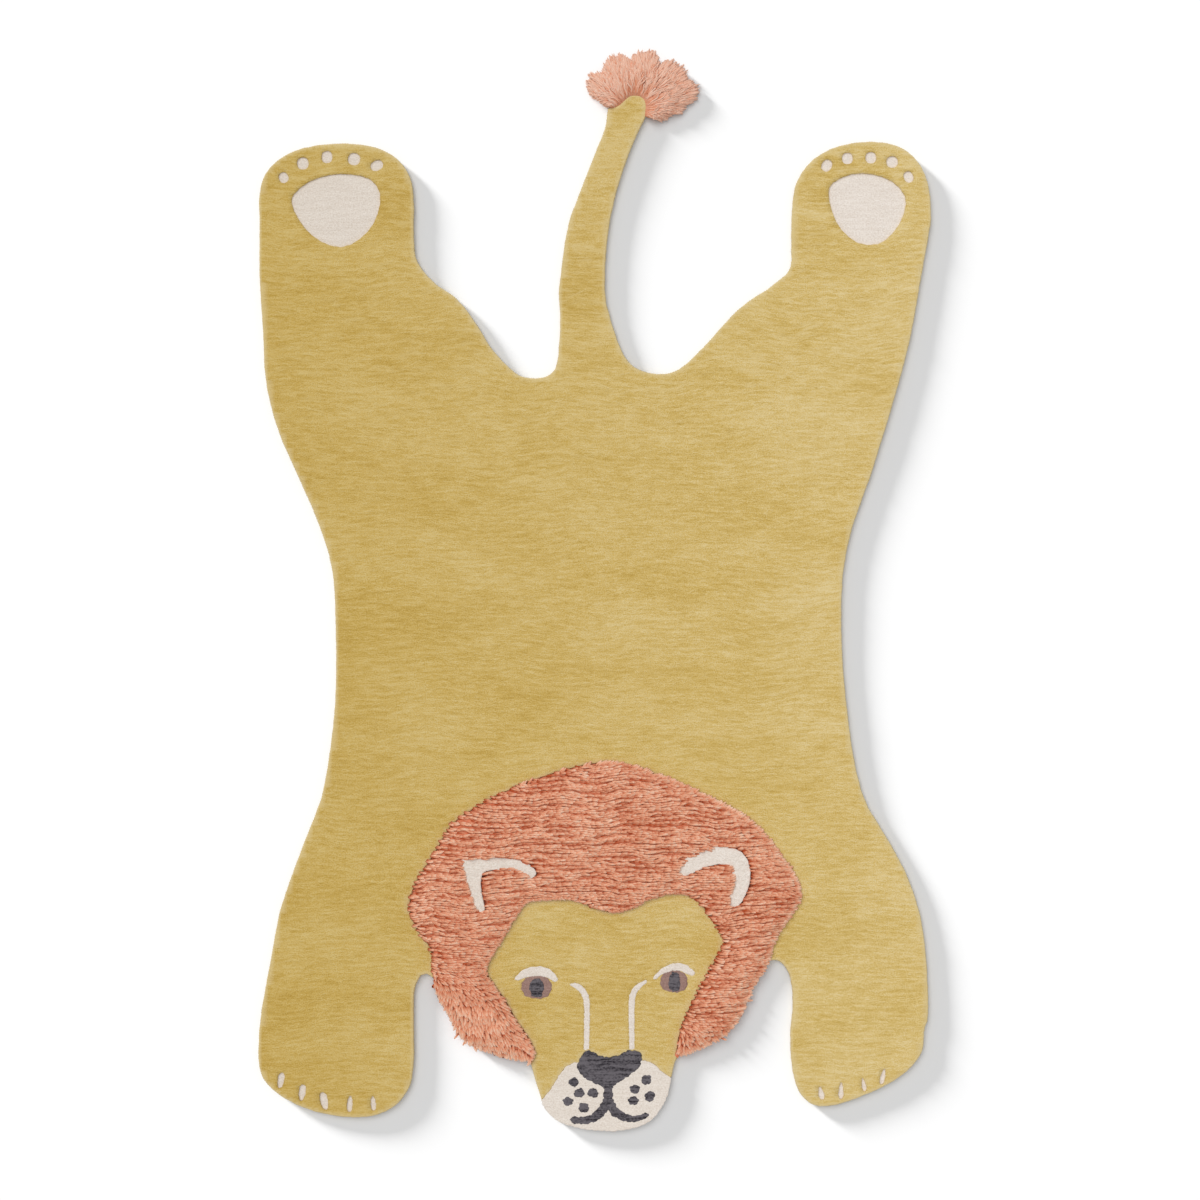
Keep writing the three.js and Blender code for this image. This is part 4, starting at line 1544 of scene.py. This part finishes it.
    def rooted(
        self, loops: list[Loop], rims: Rims, draw: np.random.Generator
    ) -> tuple[np.ndarray, np.ndarray]:
        """Lays the roots of the yarns, and draws those at a bare rim back over it.

        Args:
            loops: The mane's loops.
            rims: Their rims.
            draw: The random draws.

        Returns:
            The roots, from left to right, and each yarn's lean on the plan.
        """
        roots = self.roots(loops, draw)
        roots = roots[rims.nearest(roots[:, :2])[0] > self.clear]
        roots = roots[np.argsort(roots[:, 0])]
        lean = self.leans(roots, rims, draw)
        gap, near = rims.nearest(roots[:, :2])
        toward = np.sum(lean * rims.ways[near], 1) / np.linalg.norm(lean, axis=1)
        chosen = (roots[:, 4] < 2) | (toward > self.outward_enough)
        roots, lean, gap, toward = roots[chosen], lean[chosen], gap[chosen], toward[chosen]
        bare = eased(-gap, -self.bare_depth, 0) * (toward < 0)
        back = (gap + self.bare_overhang) / np.maximum(-toward, 0.35)
        back = np.minimum(back, self.bare_depth) * bare * rims.outer[near[chosen]]
        roots[:, :2] -= lean * (back / np.linalg.norm(lean, axis=1))[:, None]
        return roots, lean

    def combed(self, roots: np.ndarray, lean: np.ndarray, share: np.ndarray) -> np.ndarray:
        """Lays each yarn on the plan, along its row but for the lower ends.

        Args:
            roots: The yarns' roots.
            lean: Their leans.
            share: Places along a yarn, from 0 to 1.

        Returns:
            The yarns' lines on the plan.
        """
        flat = roots[:, None, :2] + lean[:, None] * (share**1.4)[None, :, None]
        x, line = flat[:, :, 0], roots[:, 2:3]
        row, strip = roots[:, 3:4], roots[:, 4:5]
        kept = (1 - self.falls(*roots[:, :2].T))[:, None]
        kept = kept * (np.abs(lean[:, :1]) > self.combed_lean) * (strip < 2)
        flat[:, :, 1] += (line + self.strand_row(x, row, strip) - flat[:, :, 1]) * kept
        return flat

    def draped(self, flat: np.ndarray, roots: np.ndarray, rims: Rims) -> np.ndarray:
        """Lets the yarns down on the padding, or over the rims beside it.

        Args:
            flat: The yarns' lines on the plan.
            roots: Their roots.
            rims: The mane's rims.

        Returns:
            The height that each station of a yarn rests on.
        """
        cad = self.heights.at(flat.reshape(-1, 2)).reshape(len(roots), -1)
        ear = (rims.outer[rims.nearest(flat[:, -1])[1]] == 0)[:, None]
        root_at = self.surface(*roots[:, :2].T)[:, None]
        beyond = np.where(ear, EAR_TOP - self.ear_drop, np.maximum(root_at * 0.8, self.over_hide))
        rest = np.where(np.isnan(cad), beyond, self.padded(cad))
        before, after = np.roll(rest, 1, 1), np.roll(rest, -1, 1)
        before[:, 0], after[:, -1] = rest[:, 0], rest[:, -1]
        return 0.5 * rest + 0.25 * (before + after)

    def yarns(self, loops: list[Loop]) -> Yarns:
        """Lays every yarn of the mane.

        Args:
            loops: The mane's loops.

        Returns:
            The yarns, from left to right.
        """
        draw = np.random.default_rng(self.seed)
        rims = Rims(loops)
        roots, lean = self.rooted(loops, rims, draw)
        x, y, _, row, strip = roots.T
        share = np.linspace(0, 1, self.stations)
        flat = self.combed(roots, lean, share)
        in_rows = 1 - self.falls(x, y)
        open_by = self.gape(x, row, strip) * in_rows
        furrow = (strip == 0) * in_rows
        drop = self.furrow_drop * furrow + self.gape_drop * open_by * (strip != 0)
        lump = self.lump * self.grains[1].at(x / (11 * MM), y / (11 * MM))
        level_by = lump - drop + draw.normal(0, self.uneven, len(roots))
        lift = np.interp(share, [0, 0.3, 0.7, 1], self.lift)
        z = self.draped(flat, roots, rims) + lift + level_by[:, None]
        girth = np.interp(share, [0, 0.4, 0.75, 1], [0.85, 1.05, 1.0, 0.7])
        # Painted shade: yarns in the furrows and beside open furrows get a darker tone.
        return Yarns(
            np.concatenate([flat, z[:, :, None]], 2),
            girth * (self.radius * draw.uniform(0.85, 1.15, len(roots)))[:, None],
            (draw.normal(0, 0.4, len(roots)) - 1.1 * furrow - 0.5 * open_by).clip(-1.5, 1),
        )

    def build(self) -> list[bpy.types.Object]:
        """Builds and dresses the backing, the padding and the yarns.

        Returns:
            The pieces, the backing first.
        """
        loops = [
            loop.evened(self.outline_step).shifted(*((0, 0) if loop.is_outer() else EAR_SHIFT))
            for loop in cut_loops("mane", self.cut_height)
        ]
        wide, fine = self.backing_grid, self.padding_grid
        backing = Pile(
            loops, self.foot, level(self.backing_top), wide, wide, outer_wall=TIGHT_WALL
        ).made("mane_backing")
        drawn_in = [loop.moved(self.padding_inset[not loop.is_outer()]) for loop in loops]
        padding = Pile(drawn_in, self.foot, self.surface, fine, fine).made("mane_padding")
        # Painted shade: the padding and backing take the deep red of the shade in the furrows
        # between the rows of yarn.
        root = ShortPile("mane_furrow_shade", srgb(204, 104, 68), srgb(228, 146, 112), knots=220.0)
        furrow_shade_felt = root.material()
        dress(backing, furrow_shade_felt, Slot.CORAL, "mane")
        dress(padding, furrow_shade_felt, Slot.CORAL, "mane")
        # Painted shade: the shag's root colour is the deep red of shade between the rows.
        shag = CoralYarn(
            "mane_shag", srgb(186, 86, 50), srgb(236, 168, 134), srgb(254, 218, 192), spread=0.17
        )
        finish = shag.material()
        yarns = self.yarns(loops)
        pieces = [backing, padding]
        for number, chosen in enumerate(np.array_split(np.arange(len(yarns.tones)), self.parts), 1):
            part = Yarns(yarns.lines[chosen], yarns.radii[chosen], yarns.tones[chosen])
            made = part.made(f"mane_shag_{number}")
            dress(made, finish, Slot.CORAL, "mane")
            pieces.append(made)
        return pieces


@dataclass
class TailTuft:
    """A core and long yarns that fan out from the end of the tail in lobes."""

    core_height: float = 8.03 * MM
    rim_heights: tuple[float, ...] = (1.03 * MM, 2.03 * MM, 4.03 * MM, 6.03 * MM)
    crown: float = 12.0 * MM
    rim: float = 5.0 * MM
    low: float = 1.6 * MM
    centre: tuple[float, float] = (0.0537, 0.672)
    foot: float = 3.0 * MM
    core_top: float = 7.5 * MM
    core_inset: float = 5.0 * MM
    core_step: float = 2.5 * MM
    core_grid: float = 12.0 * MM
    least: float = 12.0 * MM
    layers: int = 10
    long_layers: int = 3
    strands: int = 250
    stations: int = 6
    sides: int = 4
    short: tuple[float, float] = (0.26, 0.44)
    ragged: tuple[float, float] = (-3.5 * MM, 1.0 * MM)
    tucked: float = 1.5 * MM
    comb: float = 0.5
    wave: float = 0.7 * MM
    notch: float = 6.0 * MM
    notch_fill: int = 10
    radius: float = 1.2 * MM
    seed: int = 43

    def spans(self, loops: list[Loop], angles: np.ndarray) -> tuple[np.ndarray, np.ndarray]:
        """Finds where rays from the tail's end cross the tuft.

        Args:
            loops: The tuft's loops.
            angles: The rays' directions, in radians.

        Returns:
            The nearest and the farthest crossing of each ray, or nan.
        """
        start, end = edges_of(loops)
        start, end = start - self.centre, end - self.centre
        near, far = np.full(len(angles), math.nan), np.full(len(angles), math.nan)
        for i, angle in enumerate(angles):
            way = np.array([math.cos(angle), math.sin(angle)])
            side_a = way[0] * start[:, 1] - way[1] * start[:, 0]
            side_b = way[0] * end[:, 1] - way[1] * end[:, 0]
            hit = (side_a <= 0) != (side_b <= 0)
            share = side_a[hit] / (side_a[hit] - side_b[hit])
            reach = (start[hit] + (end - start)[hit] * share[:, None]) @ way
            reach = reach[reach > 0]
            if len(reach) > 1:
                near[i], far[i] = reach.min(), reach.max()
        return near, far

    def yarns(self, sweep: np.ndarray, near: np.ndarray, far: np.ndarray) -> Yarns:
        """Lays every yarn of the tuft, in layers from the floor up.

        Args:
            sweep: Directions in which there is yarn, in radians.
            near: Where the yarn starts in each direction.
            far: Where it ends.

        Returns:
            The yarns.
        """
        draw = np.random.default_rng(self.seed)
        weave = Grain(self.seed + 1)
        share = np.linspace(0, 1, self.stations)
        girth = np.interp(share, [0, 0.1, 0.7, 1], [0.8, 1.0, 1.0, 0.5])
        number = self.strands
        lines, radii = [], []
        for layer in range(self.layers):
            place = (np.arange(number) + draw.uniform(-0.5, 0.5, number)).clip(0, number - 1)
            angle = np.interp(place / (number - 1), np.linspace(0, 1, len(sweep)), sweep)
            inner, outer = np.interp(angle, sweep, near), np.interp(angle, sweep, far)
            begin, finish = inner - self.tucked, outer + draw.uniform(*self.ragged, number)
            lift = np.full(self.stations, 0.6 * (layer + 0.6) / self.long_layers)
            if layer >= self.long_layers:
                begin = begin + (outer - inner) * 0.8 * draw.random(number) ** 0.75
                length = (outer - inner) * draw.uniform(*self.short, number)
                finish = np.minimum(begin + length, finish)
                lift = 0.55 + 0.45 * share
            reach = begin[:, None] + (finish - begin)[:, None] * share
            bend = weave.at(angle * 6.0, begin / (8 * MM)) * self.comb
            edge = eased(finish / outer, 1.0, 0.7)
            bend = bend * edge * (finish - begin) / np.maximum(finish, self.least)
            wave = np.sin(share * 8 + draw.uniform(0, 6.3, number)[:, None]) * self.wave
            turn = angle[:, None] + bend[:, None] * share**2 + wave / np.maximum(reach, self.least)
            flat = np.stack([np.cos(turn), np.sin(turn)], 2) * reach[:, :, None] + self.centre
            out = ((reach - inner[:, None]) / (outer - inner)[:, None]).clip(0, 1)
            dome = self.rim + self.crown * np.sin((0.22 + 0.78 * out) * math.pi)
            z = np.maximum(dome * (0.35 + 0.65 * lift), self.low)
            lines.append(np.concatenate([flat, z[:, :, None]], 2))
            radii.append(girth * (self.radius * draw.uniform(0.8, 1.2, number))[:, None])
        tones = draw.normal(0, 0.5, number * self.layers).clip(-1, 1)
        return Yarns(np.concatenate(lines), np.concatenate(radii), tones, self.sides)

    def fan(self) -> tuple[np.ndarray, np.ndarray, np.ndarray]:
        """Measures the fan of yarn round the tail's end, with shallow notches between its lobes.

        Returns:
            The directions in which there is yarn, where it starts and where it ends.
        """
        sweep = np.radians(np.arange(-75, 285, 0.5))
        near, far = self.spans(cut_loops("tail_tuft", self.core_height), sweep)
        for height in self.rim_heights:
            far = np.fmax(far, self.spans(cut_loops("tail_tuft", height), sweep)[1])
        spread = [np.roll(far, k) for k in range(-self.notch_fill, self.notch_fill + 1)]
        lobes = np.nanmax(spread, 0)
        far = np.minimum(np.fmax(far, lobes - self.notch), lobes)
        found = ~np.isnan(near) & (far - near > self.least)
        return sweep[found], near[found], far[found]

    def build(self) -> list[bpy.types.Object]:
        """Builds and dresses the core and the yarns.

        Returns:
            The pieces, the core first.
        """
        sweep, near, far = self.fan()
        ways = np.column_stack([np.cos(sweep), np.sin(sweep)])
        outer = ways * (far - self.core_inset)[:, None] + self.centre
        inner = ways * (near + MM)[:, None] + self.centre
        rim = Loop(np.vstack([outer, inner[::-1]])).evened(self.core_step)
        grid = self.core_grid
        core = Pile([rim], self.foot, level(self.core_top), grid, grid).made("tail_tuft_core")
        made = self.yarns(sweep, near, far).made("tail_tuft_yarns")
        # Painted shade at the roots, a little deeper than at the ends.
        yarn = CoralYarn(
            "tuft_yarn", srgb(230, 158, 124), srgb(239, 187, 161), srgb(244, 203, 181), spread=0.34
        )
        finish = yarn.material()
        dress(core, finish, Slot.CORAL, "tail_tuft")
        dress(made, finish, Slot.CORAL, "tail_tuft")
        return [core, made]


# ---------------------------------------------------------------- the studio


@dataclass
class Studio:
    """A pale floor, soft light from above and a long shadow on the floor alone."""

    aim: tuple[float, float, float] = (0.00715, -0.01537, 0.007)
    distance: float = 3.0
    view_width: float = 1.6889
    sensor: float = 36.0
    floor_size: float = 14.0
    floor_colour: Colour = (0.70, 0.70, 0.70, 1.0)
    fill: float = 0.47
    top: float = 0.70
    top_height: float = math.radians(88)
    top_spread: float = math.radians(50)
    key: float = 1.05
    key_height: float = math.radians(52)
    key_from: float = math.radians(128)
    key_spread: float = math.radians(35)
    edge: float = 9.3
    edge_height: float = math.radians(9.6)
    edge_from: float = math.radians(141)
    edge_spread: float = math.radians(8.5)

    def sun(
        self, name: str, power: float, height: float, heading: float, spread: float
    ) -> bpy.types.Object:
        """Adds a far light.

        Args:
            name: Its name.
            power: Its strength.
            height: Its angle above the floor, in radians.
            heading: The side it comes from, turning from +X to +Y, in radians.
            spread: How wide it looks, in radians.

        Returns:
            The light.
        """
        data = bpy.data.lights.new(name, "SUN")
        data.energy = power
        data.angle = spread
        made = bpy.data.objects.new(name, data)
        bpy.context.scene.collection.objects.link(made)
        flat = math.cos(height)
        to = Vector((math.cos(heading) * flat, math.sin(heading) * flat, math.sin(height)))
        made.rotation_mode = "QUATERNION"
        made.rotation_quaternion = to.to_track_quat("Z", "Y")
        return made

    def floor(self) -> bpy.types.Object:
        """Lays the pale floor.

        Returns:
            The floor.
        """
        half = self.floor_size / 2
        corners = [(-half, -half, 0.0), (half, -half, 0.0), (half, half, 0.0), (-half, half, 0.0)]
        mesh = bpy.data.meshes.new("floor")
        mesh.from_pydata(corners, [], [(0, 1, 2, 3)])
        made = bpy.data.objects.new("floor", mesh)
        bpy.context.scene.collection.objects.link(made)
        paint = Shader("floor_paint")
        paint.skin.inputs["Base Color"].default_value = self.floor_colour
        paint.skin.inputs["Roughness"].default_value = 1.0
        paint.skin.inputs["Specular IOR Level"].default_value = 0.0
        mesh.materials.append(paint.material)
        return made

    def light(self, floor: bpy.types.Object, low: list[bpy.types.Object]) -> None:
        """Sets the white world and the lights, one of which lights the floor alone.

        Args:
            floor: The floor.
            low: The pieces that cast that one's shadow.
        """
        world = bpy.data.worlds.new("studio")
        world.use_nodes = True
        white = world.node_tree.nodes["Background"]
        white.inputs["Color"].default_value = WHOLE
        white.inputs["Strength"].default_value = self.fill
        bpy.context.scene.world = world
        self.sun("top_light", self.top, self.top_height, self.key_from, self.top_spread)
        self.sun("key_light", self.key, self.key_height, self.key_from, self.key_spread)
        edge = self.sun(
            "edge_light", self.edge, self.edge_height, self.edge_from, self.edge_spread
        )
        lit = bpy.data.collections.new("lit_by_edge_light")
        lit.objects.link(floor)
        edge.light_linking.receiver_collection = lit
        casting = bpy.data.collections.new("casting_the_long_shadow")
        for made in low:
            casting.objects.link(made)
        edge.light_linking.blocker_collection = casting

    def camera(self) -> None:
        """Hangs the camera over the rug, looking straight down."""
        data = bpy.data.cameras.new("camera")
        data.sensor_width = self.sensor
        data.lens = self.sensor * self.distance / self.view_width
        made = bpy.data.objects.new("camera", data)
        made.location = Vector(self.aim) + Vector((0, 0, self.distance))
        bpy.context.scene.collection.objects.link(made)
        bpy.context.scene.camera = made

    def build(self, low: list[bpy.types.Object]) -> None:
        """Sets the floor, the lights, the world and the camera.

        Args:
            low: The rug's low pieces, which alone cast the long shadow.
        """
        bpy.context.scene.view_settings.view_transform = "Standard"
        self.light(self.floor(), low)
        self.camera()


def fields() -> list[Field]:
    """Lists every field of short pile.

    Returns:
        The fields, in the order in which they are built.
    """
    low = ["pad_left", "pad_right"]
    low += [f"toe_{side}_{i}" for side in ("left", "right") for i in range(1, 6)]
    low += [f"claw_left_{i}" for i in range(1, 6)] + [f"claw_right_{i}" for i in range(1, 5)]
    made = [Field(node, Slot.CREAM, LOW_TOP, bold=0.4 if node in CLAWS else 0.1) for node in low]
    made += [
        Field(
            f"ear_{side}",
            Slot.CREAM,
            EAR_TOP,
            foot=3.0 * MM,
            bold=0.0,
            reach=1.6 * MM,
            shift=EAR_SHIFT,
        )
        for side in ("left", "right")
    ]
    flush = ["brow_left", "brow_right", "bridge_left", "bridge_right"]
    made += [Field("muzzle", Slot.CREAM, MUZZLE_TOP, bold=0.6)]
    made += [Field(node, Slot.CREAM, LINE_TOP, bold=0.35) for node in flush]
    made += [Field(f"iris_{side}", Slot.BROWN, IRIS_TOP, bold=0.6) for side in ("left", "right")]
    dark = ["pupil_left", "pupil_right", "nose_mouth"]
    dark += [f"whisker_spot_{i}" for i in range(1, 10)]
    made += [Field(node, Slot.CHARCOAL, DARK_TOP, bold=1.0) for node in dark]
    return made


def main() -> None:
    """Builds the studio and the rug, and reports each piece."""
    logging.basicConfig(level=logging.INFO, format="%(name)s: %(message)s")
    let_in = fields()
    seams = Seams(let_in)
    ground = Ground().build()
    hide = Hide().build(seams)
    finishes = {slot: pile.material() for slot, pile in SHORT_PILES.items()}
    low = [part.build(finishes, seams) for part in let_in if part.top < EAR_TOP]
    ears = [part.build(finishes, seams) for part in let_in if part.top == EAR_TOP]
    mane = Mane().build()
    tuft = TailTuft().build()
    pieces = [hide, *low, *ears, *mane, *tuft]
    Studio().build([ground, hide, *low, mane[0], tuft[0]])
    for made in (ground, *pieces):
        log.info("%s: %d faces", made.name, len(made.data.polygons))
    low, high = (np.array(corner) for corner in CAD_BOX)
    width, length = (float(side) for side in (high - low)[:2])


if __name__ == "__main__":
    main()
